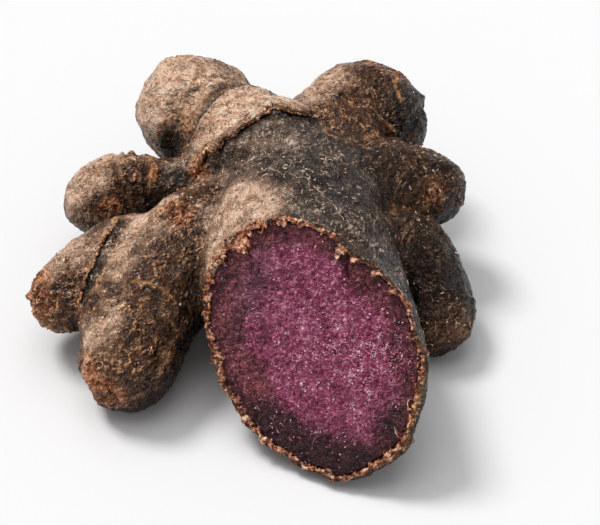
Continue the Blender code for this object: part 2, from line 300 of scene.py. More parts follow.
SLATE_PLACES = (
    ((9.0, -3.0, 35.0), 21.0, 1.1),
    ((2.0, 4.0, 33.0), 12.0, 0.8),
    ((26.0, -18.0, 28.0), 15.0, 1.0),
    ((32.5, 34.0, 24.0), 8.0, 0.8),
    ((39.3, -8.6, 12.0), 7.0, 0.6),
    ((-15.5, 14.5, 22.0), 4.5, 0.9),
    ((-31.0, -12.0, 16.0), 5.0, 0.4),
)
RUST_PLACES = (
    ((-40.5, -11.0, 12.5), 5.5, 1.0),
    ((-39.0, -13.0, 8.0), 5.0, 0.9),
    ((-36.5, -6.0, 16.0), 2.5, 0.5),
    ((-26.0, -31.0, 7.5), 4.5, 0.9),
    ((-29.5, -27.5, 10.5), 3.0, 1.0),
    ((-14.3, -1.0, 25.3), 3.6, 0.9),
    ((-13.4, -4.0, 26.3), 2.6, 0.9),
    ((-10.6, 12.9, 23.8), 2.6, 0.9),
    ((-9.0, 13.4, 27.4), 2.0, 0.7),
    ((33.5, 7.6, 22.0), 3.2, 0.7),
    ((37.0, -15.0, 8.5), 4.0, 0.4),
    ((28.5, 38.5, 27.4), 2.2, 0.8),
    ((22.4, 40.0, 28.6), 2.0, 0.8),
    ((-20.2, 15.5, 20.5), 2.0, 0.8),
    ((-28.0, 9.6, 15.8), 2.6, 1.0),
    ((-13.5, 24.0, 26.0), 4.0, 0.45),
)
SCABS = (
    ((-40.5, -11.0, 12.0), 5.0, 1.3),
    ((-26.0, -30.8, 7.5), 3.6, 0.8),
    ((-29.3, -27.5, 10.5), 2.4, 0.6),
    ((-13.9, -2.0, 25.8), 3.8, 0.9),
    ((-10.4, 12.9, 24.2), 3.4, 1.2),
    ((-9.0, 13.4, 27.6), 2.4, 0.8),
    ((33.5, 7.6, 22.0), 2.6, 0.5),
)
# Places painted darker: partly the skin's own dark brown, partly painted shade on sides and undersides that
# face away from the light.
DARK_AND_SHADED_PLACES = (
    ((9.0, -1.0, 34.5), 8.0, 0.45),
    ((20.0, -4.0, 31.0), 10.0, 0.60),
    ((24.0, 8.0, 27.0), 9.0, 0.70),
    ((-12.5, 22.5, 24.0), 6.0, 0.40),
    ((-17.5, 21.0, 16.0), 4.0, 0.50),
    ((-26.0, 12.0, 18.0), 4.0, 0.35),
    ((30.0, 30.0, 23.0), 10.0, 0.90),
    ((31.0, 11.0, 20.0), 12.0, 0.90),
    ((33.0, -5.0, 12.0), 16.0, 1.0),
    ((-16.0, -9.0, 21.0), 6.0, 0.45),
    ((-10.5, -12.0, 14.0), 9.0, 0.90),
    ((-9.0, -2.0, 22.0), 4.5, 0.70),
)
FIBRE_PLACES = (
    ((10.0, -1.0, 34.5), 5.0, 3.0),
    ((13.0, -6.0, 34.5), 4.0, 2.5),
    ((2.0, 0.0, 33.5), 4.0, 2.0),
    ((35.0, -12.0, 9.0), 6.0, 2.5),
    ((36.0, 12.0, 20.0), 6.0, 1.5),
)

THREADS = 650
FLECKS = 1300
RIM_FLAKES = 170
RIM_CURLS = 45
RIM_CRUMBS = 1050
FLESH_THREADS = 1100
CRYSTALS = 1100
PLATES = (  # a place on the rim, the plate's width and reach, and how far it leans over the flesh, in radians
    ((-2.5, -15.5, 31.5), 6.0, 5.0, 1.45),
    ((-5.5, -17.5, 28.0), 3.0, 2.5, 1.30),
    ((-7.5, -19.0, 24.5), 2.5, 2.0, 1.20),
    ((1.5, -14.5, 34.0), 2.5, 2.5, 1.20),
    ((5.0, -15.5, 35.5), 2.5, 1.5, 0.60),
    ((16.0, -20.5, 34.5), 2.5, 3.5, 1.30),
    ((18.5, -22.5, 33.5), 2.5, 2.0, 0.90),
    ((21.5, -25.5, 32.0), 2.0, 2.0, 0.90),
    ((24.0, -28.0, 29.5), 2.0, 2.0, 0.90),
    ((28.5, -34.0, 25.0), 2.0, 1.5, 0.80),
    ((13.0, -45.0, 3.0), 2.0, 1.5, 0.60),
    ((-4.0, -30.0, 12.0), 2.5, 1.5, 0.80),
)
CURLS = (  # a place on the rim, and the curl's size
    ((29.5, -37.5, 21.0), 1.5),
    ((29.5, -36.0, 23.0), 1.0),
    ((29.0, -41.5, 15.5), 1.5),
    ((26.5, -44.0, 10.5), 1.5),
    ((24.0, -46.0, 8.0), 1.0),
    ((27.5, -34.0, 25.5), 1.0),
    ((14.0, -45.0, 2.5), 1.0),
    ((9.0, -17.5, 35.5), 1.0),
)
PAINTED_LIGHT_SIDE = (-0.62, 0.05, 0.78)  # the side the painted light comes from: faces turned this way get a painted sheen, faces turned away get painted shade, and small bumps get painted lit and shaded sides

rng = np.random.default_rng(SEED)
noise.seed_set(SEED)  # otherwise noise_vector starts from the clock, and differs in each run


# Points, noise and other sums

def unit(vector):
    vector = np.array(vector, float)
    return vector / np.linalg.norm(vector)


def unit_rows(rows):
    return rows / np.linalg.norm(rows, axis=1, keepdims=True).clip(1e-9)


def points_of(piece):
    values = np.empty(len(piece.data.vertices) * 3)
    piece.data.vertices.foreach_get("co", values)
    return values.reshape(-1, 3) / MM


def normals_of(piece):
    values = np.empty(len(piece.data.vertices) * 3)
    piece.data.vertices.foreach_get("normal", values)
    return values.reshape(-1, 3)


def move_points(piece, points):
    piece.data.vertices.foreach_set("co", (points * MM).ravel())
    piece.data.update()


def soft_noise(points, size, seed):
    """Smooth noise from -1 to 1 with features of about this size."""
    offset = Vector((seed * 3.1, seed * 5.7, seed * 1.9))
    return np.array([noise.noise(Vector(point) / size + offset) for point in points])


def vector_noise(points, size):
    return np.array([noise.noise_vector(Vector(point) / size) for point in points])


def rough_noise(points, size, seed):
    """Noise with finer and finer detail on it, from about -1 to 1."""
    offset = Vector((seed * 2.3, seed * 4.1, seed * 7.9))
    return np.array([noise.fractal(Vector(point) / size + offset, 0.7, 2.1, 4) for point in points])


def chips(points, size, seed):
    """Small flat chips with gaps between them, each tilted its own way, from about -1 to 1."""
    offset = Vector((seed, seed * 2.0, seed * 3.0))
    heights = np.empty(len(points))
    for index, point in enumerate(points):
        place = Vector(point) / size + offset
        place += 0.35 * noise.noise_vector(place * 1.7)
        reach, seeds = noise.voronoi(place)
        tilt = noise.noise_vector(seeds[0] * 5.3)
        gap = max(0.0, 1.0 - 5.0 * (reach[1] - reach[0]))
        heights[index] = 2.2 * (place - seeds[0]).dot(tilt) - 0.7 * gap
    return heights


def smoothstep(values, low, high):
    t = np.clip((values - low) / (high - low), 0, 1)
    return t * t * (3 - 2 * t)


def near(points, places):
    """How much of something each point gets from a list of (middle, radius, amount)."""
    total = np.zeros(len(points))
    for middle, radius, amount in places:
        away = np.linalg.norm(points - np.array(middle), axis=1)
        total = np.maximum(total, amount * np.exp(-((away / radius) ** 2)))
    return total


def smooth_path(points, spacing):
    """Evenly spaced points on a Catmull-Rom curve through the given ones."""
    rows = np.array(points, float)
    rows = np.vstack([2 * rows[0] - rows[1], rows, 2 * rows[-1] - rows[-2]])
    path = []
    for before, start, end, after in zip(rows, rows[1:], rows[2:], rows[3:]):
        for t in np.linspace(0, 1, 40, endpoint=False):
            path.append(
                start
                + 0.5 * t * (end - before)
                + t**2 * (before - 2.5 * start + 2 * end - 0.5 * after)
                + t**3 * (1.5 * (start - end) + 0.5 * (after - before))
            )
    path = np.array([*path, rows[-2]])
    length = np.concatenate([[0], np.cumsum(np.linalg.norm(np.diff(path, axis=0), axis=1))])
    even = np.linspace(0, length[-1], max(2, int(length[-1] / spacing)))
    return np.array([np.interp(even, length, path[:, axis]) for axis in range(3)]).T


# The plane of the cut

FACING = unit(CUT_FACING)
ACROSS = unit(np.cross((0, 0, 1), FACING))
UPHILL = np.cross(FACING, ACROSS)


def in_the_cut(points):
    """Each point's height over the cut's plane, and its place on the plane: across, and up the slope."""
    away = points - np.array(CUT_MIDDLE)
    return away @ FACING, away @ ACROSS, away @ UPHILL


def on_the_cut(across, uphill):
    """Places on the cut's plane, from how far they lie across it and up its slope."""
    return np.array(CUT_MIDDLE) + np.outer(across, ACROSS) + np.outer(uphill, UPHILL)


def outward_in_cut(angle):
    """The way out from the cut's middle, within its plane."""
    return math.cos(angle) * ACROSS + math.sin(angle) * UPHILL


# Work on pieces

def only(piece):
    bpy.ops.object.select_all(action="DESELECT")
    piece.select_set(True)
    bpy.context.view_layer.objects.active = piece


def apply_modifier(piece, kind, **settings):
    only(piece)
    modifier = piece.modifiers.new(kind.lower(), kind)
    for name, value in settings.items():
        setattr(modifier, name, value)
    bpy.ops.object.modifier_apply(modifier=modifier.name)


def set_amount(piece, name, values):
    """Keeps a number for each vertex, which a material can read."""
    attribute = piece.data.attributes.new(name, "FLOAT", "POINT")
    attribute.data.foreach_set("value", np.asarray(values, np.float32))


def finish_piece(piece, material):
    piece.data.materials.clear()
    piece.data.materials.append(material)
    only(piece)
    bpy.ops.object.shade_smooth()
    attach(piece, "root")
    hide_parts("rhizome")


# Materials

def colour(red, green, blue):
    """A colour as screens state it, 0 to 255, turned into the values that the renderer uses."""
    return tuple(((value / 255 + 0.055) / 1.055) ** 2.4 for value in (red, green, blue)) + (1.0,)


def new_material(name):
    material = bpy.data.materials.new(name)
    material.use_nodes = True
    tree = material.node_tree
    return material, tree, tree.nodes["Principled BSDF"]


def add_node(tree, kind, settings, inputs):
    node = tree.nodes.new(kind)
    for name, value in settings.items():
        setattr(node, name, value)
    for name, value in inputs.items():
        if isinstance(value, bpy.types.NodeSocket):
            tree.links.new(value, node.inputs[name])
        else:
            node.inputs[name].default_value = value
    return node


def millimetres(tree):
    """The place on the piece, in millimetres."""
    place = tree.nodes.new("ShaderNodeTexCoord").outputs["Object"]
    return add_node(tree, "ShaderNodeMapping", {}, {"Vector": place, "Scale": (1000, 1000, 1000)}).outputs[0]


def noise_node(tree, place, size, detail=2.0, roughness=0.5, distortion=0.0, out="Fac"):
    inputs = {"Vector": place, "Scale": 1 / size, "Detail": detail, "Roughness": roughness}
    inputs["Distortion"] = distortion
    return add_node(tree, "ShaderNodeTexNoise", {}, inputs).outputs[out]


def cells_node(tree, place, size):
    """How far each place lies from the middle of its cell."""
    inputs = {"Vector": place, "Scale": 1 / size}
    return add_node(tree, "ShaderNodeTexVoronoi", {}, inputs).outputs["Distance"]


def attribute_node(tree, name, out="Fac"):
    return add_node(tree, "ShaderNodeAttribute", {"attribute_name": name}, {}).outputs[out]


def sum_node(tree, start, *parts):
    """A number plus others, each with its share."""
    for value, share in parts:
        start = math_node(tree, "MULTIPLY_ADD", value, share, start)
    return start


def math_node(tree, operation, *values, clamp=False):
    settings = {"operation": operation, "use_clamp": clamp}
    return add_node(tree, "ShaderNodeMath", settings, dict(enumerate(values))).outputs[0]


def mix_node(tree, amount, one, other, blend="MIX"):
    settings = {"data_type": "RGBA", "blend_type": blend, "clamp_factor": True}
    return add_node(tree, "ShaderNodeMix", settings, {0: amount, 6: one, 7: other}).outputs[2]


def range_node(tree, value, low, high, to_low=0.0, to_high=1.0):
    inputs = {"Value": value, "From Min": low, "From Max": high, "To Min": to_low, "To Max": to_high}
    return add_node(tree, "ShaderNodeMapRange", {"interpolation_type": "SMOOTHSTEP"}, inputs).outputs[0]


def ramp_node(tree, value, *stops):
    node = add_node(tree, "ShaderNodeValToRGB", {}, {"Fac": value})
    ramp = node.color_ramp
    for place, _ in stops[:-2]:
        ramp.elements.new(place)
    for element, (place, shade) in zip(ramp.elements, stops):
        element.position = place
        element.color = shade
    return node.outputs["Color"]


def vector_node(tree, operation, inputs):
    return add_node(tree, "ShaderNodeVectorMath", {"operation": operation}, inputs).outputs[0]


def warped(tree, place, size, amount):
    """The place, pushed about by noise, so that what is laid on it flows and folds."""
    push = noise_node(tree, place, size, detail=2.0, out="Color")
    centred = vector_node(tree, "SUBTRACT", {0: push, 1: (0.5, 0.5, 0.5)})
    scaled = vector_node(tree, "SCALE", {0: centred, "Scale": amount})
    return vector_node(tree, "ADD", {0: place, 1: scaled})


def curls_node(tree, place, size, width, shown, level=0.5):
    """Thin curled lines, shown only here and there; lines of another level run beside them."""
    lines = noise_node(tree, place, size, detail=1.0, distortion=2.2)
    off = math_node(tree, "ABSOLUTE", math_node(tree, "SUBTRACT", lines, level))
    line = range_node(tree, off, width, 0.2 * width)
    patches = noise_node(tree, place, 1.9 * size, detail=1.0)
    return math_node(tree, "MULTIPLY", line, range_node(tree, patches, 1 - shown, 1.06 - shown))


def bump_node(tree, height, depth):
    inputs = {"Height": height, "Distance": depth * MM}
    return add_node(tree, "ShaderNodeBump", {}, inputs).outputs[0]


def spots_node(tree, place, size, radius, shown):
    """Small round spots, shown only here and there."""
    near_middle = range_node(tree, cells_node(tree, place, size), radius, 0.6 * radius)
    patches = noise_node(tree, place, 2.2 * size, detail=1.0)
    return math_node(tree, "MULTIPLY", near_middle, range_node(tree, patches, 1 - shown, 1.08 - shown))


def strokes_node(tree, place, size, sharpness, distortion):
    """Short curly raised strokes."""
    lines = noise_node(tree, place, size, detail=1.5, distortion=distortion)
    off = math_node(tree, "ABSOLUTE", math_node(tree, "SUBTRACT", lines, 0.5))
    return math_node(tree, "SUBTRACT", 1.0, math_node(tree, "MULTIPLY", off, sharpness), clamp=True)


def pebbles_node(tree, place):
    """Small pebbles and pits, from -1 deep in a pit to 1 on a pebble, with steep sides."""
    bits = noise_node(tree, place, 0.9, detail=1.0)
    beads = range_node(tree, bits, 0.53, 0.60)
    holes = range_node(tree, bits, 0.41, 0.34)
    return math_node(tree, "SUBTRACT", beads, holes)


def shifted(tree, place, way, distance):
    """The place that lies this far off this way, to see whether it is higher or lower there."""
    return vector_node(tree, "ADD", {0: place, 1: tuple(distance * unit(way))})


def make_peel_material():
    material, tree, shader = new_material("scaly_peel")
    place = millimetres(tree)
    drawn = attribute_node(tree, "drawn", "Vector")
    swirl = warped(tree, place, 2.6, 1.6)
    clouds = noise_node(tree, place, 5.0, detail=2.0)
    mottle = noise_node(tree, swirl, 1.6, detail=2.0)
    swell = noise_node(tree, warped(tree, drawn, 3.0, 2.0), 2.2, detail=1.0)
    contours = math_node(tree, "SINE", math_node(tree, "MULTIPLY", swell, 70.0))
    pebbles = pebbles_node(tree, swirl)
    curls = curls_node(tree, place, 1.5, 0.027, 0.50)
    # Lines beside the pale curls: sunk a little, and painted dark as their shadow.
    beside = curls_node(tree, place, 1.5, 0.030, 0.50, 0.45)

    # Painted light and shade on the relief: each swell and pebble is painted lighter on its side towards the
    # painted light and darker on the side away, less so on tan places.
    lower = noise_node(tree, shifted(tree, swirl, PAINTED_LIGHT_SIDE, 0.45), 1.6, detail=2.0)
    lit_swell = math_node(tree, "SUBTRACT", mottle, lower)
    beyond = pebbles_node(tree, shifted(tree, swirl, PAINTED_LIGHT_SIDE, 0.18))
    patches = range_node(tree, noise_node(tree, place, 3.2, detail=2.0), 0.46, 0.60, 0.30, 1.0)
    calm = math_node(tree, "MULTIPLY_ADD", attribute_node(tree, "tan"), -0.5, 1.0, clamp=True)
    lit_edges = math_node(tree, "MULTIPLY", math_node(tree, "SUBTRACT", pebbles, beyond), patches)
    lit_edges = math_node(tree, "MULTIPLY", lit_edges, calm)

    height = sum_node(tree, mottle, (contours, 0.09), (pebbles, 0.50), (curls, 0.50), (beside, -0.40))
    tone = sum_node(
        tree, math_node(tree, "MULTIPLY", mottle, 0.35), (clouds, 0.35), (contours, 0.040), (pebbles, 0.02),
        (lit_swell, 0.42), (lit_edges, 0.32),
    )
    tone = range_node(tree, tone, -0.05, 0.75)

    brown = ramp_node(
        tree, tone, (0.12, colour(24, 12, 5)), (0.38, colour(76, 47, 28)), (0.62, colour(116, 77, 50)),
        (0.92, colour(246, 184, 132)),
    )
    tan = ramp_node(
        tree, tone, (0.10, colour(112, 74, 52)), (0.36, colour(216, 168, 135)), (0.62, colour(243, 202, 171)),
        (0.92, colour(255, 232, 210)),
    )
    slate = ramp_node(
        tree, tone, (0.12, colour(18, 13, 11)), (0.38, colour(66, 55, 49)), (0.62, colour(92, 79, 71)),
        (0.92, colour(206, 178, 158)),
    )
    rust = ramp_node(
        tree, tone, (0.12, colour(50, 20, 8)), (0.36, colour(140, 68, 36)), (0.56, colour(222, 132, 82)),
        (0.80, colour(255, 208, 164)),
    )
    stray = math_node(tree, "SUBTRACT", clouds, 0.5)
    slate_amount = sum_node(tree, attribute_node(tree, "slate"), (stray, 0.4))
    # The painted sheen turns faces towards the painted light tan.
    painted_sheen = attribute_node(tree, "painted_sheen")
    tan_amount = sum_node(tree, attribute_node(tree, "tan"), (stray, 0.9), (painted_sheen, 0.20))
    rust_amount = sum_node(tree, attribute_node(tree, "rust"), (stray, 0.5))
    shade = mix_node(tree, range_node(tree, slate_amount, 0.20, 0.80), brown, slate)
    shade = mix_node(tree, range_node(tree, tan_amount, 0.10, 0.90), shade, tan)
    shade = mix_node(tree, range_node(tree, rust_amount, 0.15, 0.75, 0.0, 0.85), shade, rust)
    # Painted shade: the "dark" amount multiplies in the shade of hollows and of faces turned from the light,
    # with the skin's own darker places; fewer pale curls show there.
    shade = mix_node(tree, attribute_node(tree, "dark"), shade, colour(42, 31, 21), "MULTIPLY")
    curl_amount = math_node(tree, "MULTIPLY_ADD", attribute_node(tree, "dark"), -0.50, 0.78)
    shade = mix_node(tree, math_node(tree, "MULTIPLY", curls, curl_amount), shade, colour(206, 160, 128))
    # Painted shadow beside the curls, painted shade in pits, creases and gaps, and on crests a painted
    # highlight with the copper of lips and raised lines.
    shade = mix_node(tree, math_node(tree, "MULTIPLY", beside, 0.6), shade, colour(16, 9, 5))
    shade = mix_node(tree, attribute_node(tree, "pit"), shade, colour(12, 6, 3))
    shade = mix_node(tree, attribute_node(tree, "crest"), shade, colour(228, 164, 106))
    tree.links.new(shade, shader.inputs["Base Color"])

    dullness = sum_node(tree, math_node(tree, "MULTIPLY", mottle, 0.35), (pebbles, -0.08), (clouds, 0.20))
    tree.links.new(dullness, shader.inputs["Roughness"])
    shader.inputs["Specular IOR Level"].default_value = 0.30
    tree.links.new(bump_node(tree, height, 0.60), shader.inputs["Normal"])
    return material


def make_flesh_material():
    material, tree, shader = new_material("purple_flesh")
    place = millimetres(tree)
    flow = warped(tree, place, 1.6, 1.4)
    clouds = noise_node(tree, place, 3.4, detail=4.0, roughness=0.6)
    grain = noise_node(tree, flow, 0.8, detail=3.0, roughness=0.65)
    strokes = strokes_node(tree, flow, 0.9, 7.0, 1.6)
    threads = curls_node(tree, place, 1.1, 0.026, 0.55)
    pits = spots_node(tree, flow, 1.1, 0.34, 0.45)
    specks = spots_node(tree, place, 0.8, 0.22, 0.50)
    grains = pebbles_node(tree, flow)
    # Painted light and shade on the grains: lighter on the side towards the painted light, darker on the side
    # away.
    beyond = pebbles_node(tree, shifted(tree, flow, PAINTED_LIGHT_SIDE, 0.15))
    lit_edges = math_node(tree, "SUBTRACT", grains, beyond)

    tone = sum_node(
        tree, math_node(tree, "MULTIPLY", clouds, 0.45), (grain, 0.50), (strokes, 0.12), (pits, -0.14),
        (lit_edges, 0.16),
    )
    tone = range_node(tree, tone, 0.16, 0.90)
    core = ramp_node(
        tree, tone, (0.10, colour(56, 10, 32)), (0.38, colour(134, 44, 78)), (0.62, colour(174, 72, 110)),
        (0.95, colour(255, 182, 212)),
    )
    ring = ramp_node(
        tree, tone, (0.10, colour(16, 3, 7)), (0.38, colour(76, 26, 34)), (0.62, colour(124, 52, 60)),
        (0.95, colour(190, 110, 116)),
    )
    veil = ramp_node(
        tree, tone, (0.10, colour(46, 18, 30)), (0.38, colour(98, 50, 68)), (0.62, colour(136, 80, 100)),
        (0.95, colour(206, 156, 176)),
    )
    stray = math_node(tree, "SUBTRACT", clouds, 0.5)
    core_amount = sum_node(tree, attribute_node(tree, "core"), (stray, 0.5))
    shade = mix_node(tree, range_node(tree, core_amount, 0.15, 0.85), ring, core)
    shade = mix_node(tree, attribute_node(tree, "veil"), shade, veil)
    shade = mix_node(tree, math_node(tree, "MULTIPLY", threads, 0.55), shade, colour(224, 146, 176))
    rusty = math_node(tree, "MULTIPLY", specks, attribute_node(tree, "rusty"))
    shade = mix_node(tree, math_node(tree, "MULTIPLY", rusty, 0.8), shade, colour(206, 144, 96))
    shade = mix_node(tree, attribute_node(tree, "shaded"), shade, colour(26, 9, 12))
    tree.links.new(shade, shader.inputs["Base Color"])

    tree.links.new(math_node(tree, "MULTIPLY_ADD", grain, 0.4, 0.15), shader.inputs["Roughness"])
    shader.inputs["Specular IOR Level"].default_value = 0.35
    height = sum_node(tree, grain, (strokes, 0.30), (threads, 0.35), (pits, -0.5), (grains, 0.25))
    tree.links.new(bump_node(tree, height, 0.50), shader.inputs["Normal"])
    return material


def mottled_material(name, dullness, mottling, *stops):
    """A finish that goes through these colours from place to place."""
    material, tree, shader = new_material(name)
    tone = noise_node(tree, millimetres(tree), **mottling)
    tree.links.new(ramp_node(tree, tone, *stops), shader.inputs["Base Color"])
    shader.inputs["Roughness"].default_value = dullness
    return material


def make_crystal_material():
    return mottled_material(
        "pale_crystal", 0.2, {"size": 1.4, "detail": 2.0},
        (0.36, colour(150, 54, 90)), (0.46, colour(206, 104, 142)),
        (0.56, colour(238, 160, 188)), (0.66, colour(255, 224, 234)),
    )


def make_rim_material():
    material, tree, shader = new_material("copper_rim")
    place = millimetres(tree)
    flow = warped(tree, place, 0.9, 0.8)
    crumble = noise_node(tree, flow, 0.8, detail=2.0, roughness=0.6)
    patches = noise_node(tree, place, 2.2, detail=3.0)
    copper = ramp_node(
        tree, crumble, (0.36, colour(38, 14, 6)), (0.45, colour(140, 72, 40)), (0.54, colour(224, 148, 98)),
        (0.64, colour(255, 232, 206)),
    )
    burnt = ramp_node(
        tree, crumble, (0.36, colour(26, 10, 5)), (0.46, colour(104, 46, 26)), (0.55, colour(184, 100, 62)),
        (0.66, colour(240, 190, 156)),
    )
    shade = mix_node(tree, range_node(tree, patches, 0.40, 0.60), copper, burnt)
    tree.links.new(shade, shader.inputs["Base Color"])
    tree.links.new(math_node(tree, "MULTIPLY_ADD", crumble, 0.4, 0.15), shader.inputs["Roughness"])
    shader.inputs["Specular IOR Level"].default_value = 0.55
    tree.links.new(bump_node(tree, crumble, 0.35), shader.inputs["Normal"])
    return material


def make_lip_material():
    return mottled_material(
        "golden_lip", 0.35, {"size": 0.9, "detail": 3.0},
        (0.36, colour(70, 34, 16)), (0.45, colour(176, 108, 66)),
        (0.54, colour(232, 166, 116)), (0.64, colour(255, 230, 198)),
    )


def make_thread_material():
    return mottled_material(
        "pale_thread", 0.35, {"size": 2.2, "detail": 2.0},
        (0.34, colour(160, 126, 104)), (0.45, colour(210, 174, 150)),
        (0.55, colour(236, 206, 184)), (0.66, colour(255, 240, 228)),
    )


def make_fleck_material():
    return mottled_material(
        "scale_fleck", 0.5, {"size": 1.7, "detail": 3.0, "roughness": 0.6},
        (0.34, colour(58, 34, 20)), (0.46, colour(146, 94, 58)),
        (0.56, colour(212, 152, 104)), (0.68, colour(250, 212, 170)),
    )


# The peel

def shares_of_fingers(points):
    """How far each point belongs to each finger, as a column for each that adds up to 1 for the point."""
    gaps = []
    for root, tip, radius in FINGERS.values():
        root, run = np.array(root), np.array(tip) - np.array(root)
        along = np.clip((points - root) @ run / (run @ run), 0, 1)
        gaps.append(np.linalg.norm(points - root - along[:, None] * run, axis=1) / radius)
    weights = np.exp(-8 * (np.array(gaps).T - np.min(gaps, axis=0)[:, None]))
    return weights / weights.sum(1, keepdims=True)


def lengthwise_wrinkles(points, shares, across, along, seed):
    """Wrinkles that run along each finger."""
    total = np.zeros(len(points))
    for column, (root, tip, _) in enumerate(FINGERS.values()):
        mine = shares[:, column] > 0.05
        way = unit(np.array(tip) - np.array(root))
        drawn = points[mine] - (points[mine] @ way)[:, None] * way * (1 - across / along)
        total[mine] += shares[mine, column] * (1 - 2 * np.abs(soft_noise(drawn, across, seed + column)))
    return total


def ring_relief(points):
    height = np.zeros(len(points))
    wobble = 0.35 * soft_noise(points, 1.4, 5.0) + 0.5 * soft_noise(points, 4.0, 7.0)
    rough = 0.75 + 0.6 * soft_noise(points, 0.9, 11.0)
    for middle, way, radius, rise in RINGS.values():
        away = points - np.array(middle)
        past = away @ unit(way) + wobble
        here = smoothstep(np.linalg.norm(away, axis=1), radius + 5.0, radius + 2.5)
        ridge = np.exp(-((past / 0.45) ** 2)) * rough
        groove = np.exp(-(((past - 1.0) / 0.5) ** 2))
        height += here * rise * (ridge - 0.6 * groove)
    return height


def side_of_edge(points, line, width, way):
    """How far each point lies behind a scale's edge, and how near to it; far points are left out."""
    path = smooth_path(line, 0.3)
    tangents = unit_rows(np.gradient(path, axis=0))
    behind = unit_rows(unit(way) - (tangents @ unit(way))[:, None] * tangents)
    reach = 1.6 * width
    close = np.flatnonzero(np.all((points > path.min(0) - reach) & (points < path.max(0) + reach), axis=1))
    away = points[close][:, None, :] - path[None, :, :]
    distance = np.einsum("ijk,ijk->ij", away, away)
    nearest = distance.argmin(1)
    rows = np.arange(len(close))
    ends = smoothstep(np.minimum(nearest, len(path) - 1 - nearest), 0, 8)
    lead = np.einsum("ij,ij->i", away[rows, nearest], behind[nearest])
    here = ends * smoothstep(np.sqrt(distance[rows, nearest]), reach, 0.6 * reach)
    return close, lead, here


def edge_wobble(points):
    """How far a scale's torn edge strays from its line."""
    return 0.25 * soft_noise(points, 1.6, 3.0) + 0.20 * soft_noise(points, 0.6, 4.0)


def edge_relief(points):
    """The scales behind their lifted edges, their bright lips, the sunk gaps under the lips, which are
    painted dark as shade, and the bare skin in front.
    """
    height, gaps, lips, bare = (np.zeros(len(points)) for _ in range(4))
    for line, rise, _, width, way in SCALE_EDGES.values():
        close, lead, here = side_of_edge(points, line, width, way)
        spot = points[close]
        lead = lead + edge_wobble(spot)
        raised = smoothstep(lead, -0.10, 0.10) * np.exp(-((lead.clip(0) / width) ** 2))
        gap = smoothstep(lead, -0.70, -0.35) * smoothstep(lead, 0.02, -0.12)
        lip = smoothstep(lead, -0.10, 0.0) * smoothstep(lead, 0.30, 0.12)
        broken = smoothstep(soft_noise(spot, 0.9, 37.0), -0.35, 0.05)
        height[close] += here * rise * (0.75 * raised - 0.45 * gap + 0.12 * lip)
        gaps[close] = np.maximum(gaps[close], here * gap)
        lips[close] = np.maximum(lips[close], here * lip * broken)
        front = here * smoothstep(lead, 0.1, -0.2) * np.exp(-((lead / width) ** 2))
        bare[close] = np.maximum(bare[close], front)
    return height, gaps, lips, bare


def beside_line(points, line, reach):
    """The points near a line, how far off each lies, and how much it takes part, less at the line's ends."""
    path = smooth_path(line, 0.3)
    close = np.flatnonzero(np.all((points > path.min(0) - reach) & (points < path.max(0) + reach), axis=1))
    spot = points[close] + 0.35 * vector_noise(points[close], 1.5)
    distance = np.sqrt(((spot[:, None, :] - path[None, :, :]) ** 2).sum(2))
    nearest = distance.argmin(1)
    ends = smoothstep(np.minimum(nearest, len(path) - 1 - nearest), -1, 6)
    return close, distance.min(1), ends


def ridge_relief(points):
    """The creases, raised lines and knots, how much painted shade lies in the creases and round the knots,
    and how much rusty finish shows on the raised lines.
    """
    height, crease_shade, rusty = np.zeros(len(points)), np.zeros(len(points)), np.zeros(len(points))
    for line, depth, width in CREASES.values():
        close, distance, ends = beside_line(points, line, 3)
        uneven = (0.75 + 0.7 * soft_noise(points[close], 1.0, 35.0)).clip(0.1)
        furrow = ends * uneven * np.exp(-((distance / width) ** 2))
        height[close] -= depth * furrow
        crease_shade[close] = np.maximum(crease_shade[close], furrow.clip(0, 0.95))
    for line, rise, width in RIDGES.values():
        close, distance, ends = beside_line(points, line, 2)
        beads = (0.55 + 1.1 * soft_noise(points[close], 0.8, 31.0)).clip(0.05)
        ridge = ends * beads * np.exp(-((distance / width) ** 2))
        height[close] += rise * ridge
        rusty[close] = np.maximum(rusty[close], (1.2 * ridge).clip(0, 1))
    for middle, radius, rise in KNOTS:
        distance = np.linalg.norm(points - np.array(middle), axis=1)
        close = np.flatnonzero(distance < 1.8 * radius)
        spot = points[close]
        out = distance[close] / radius * (1 + 0.4 * soft_noise(spot, 0.8, 33.0))
        height[close] += rise * smoothstep(out, 1.15, 0.2) - 0.3 * rise * np.exp(-(((out - 1.25) / 0.2) ** 2))
        crease_shade[close] = np.maximum(crease_shade[close], 0.8 * np.exp(-(((out - 1.25) / 0.22) ** 2)))
    return height, crease_shade, rusty


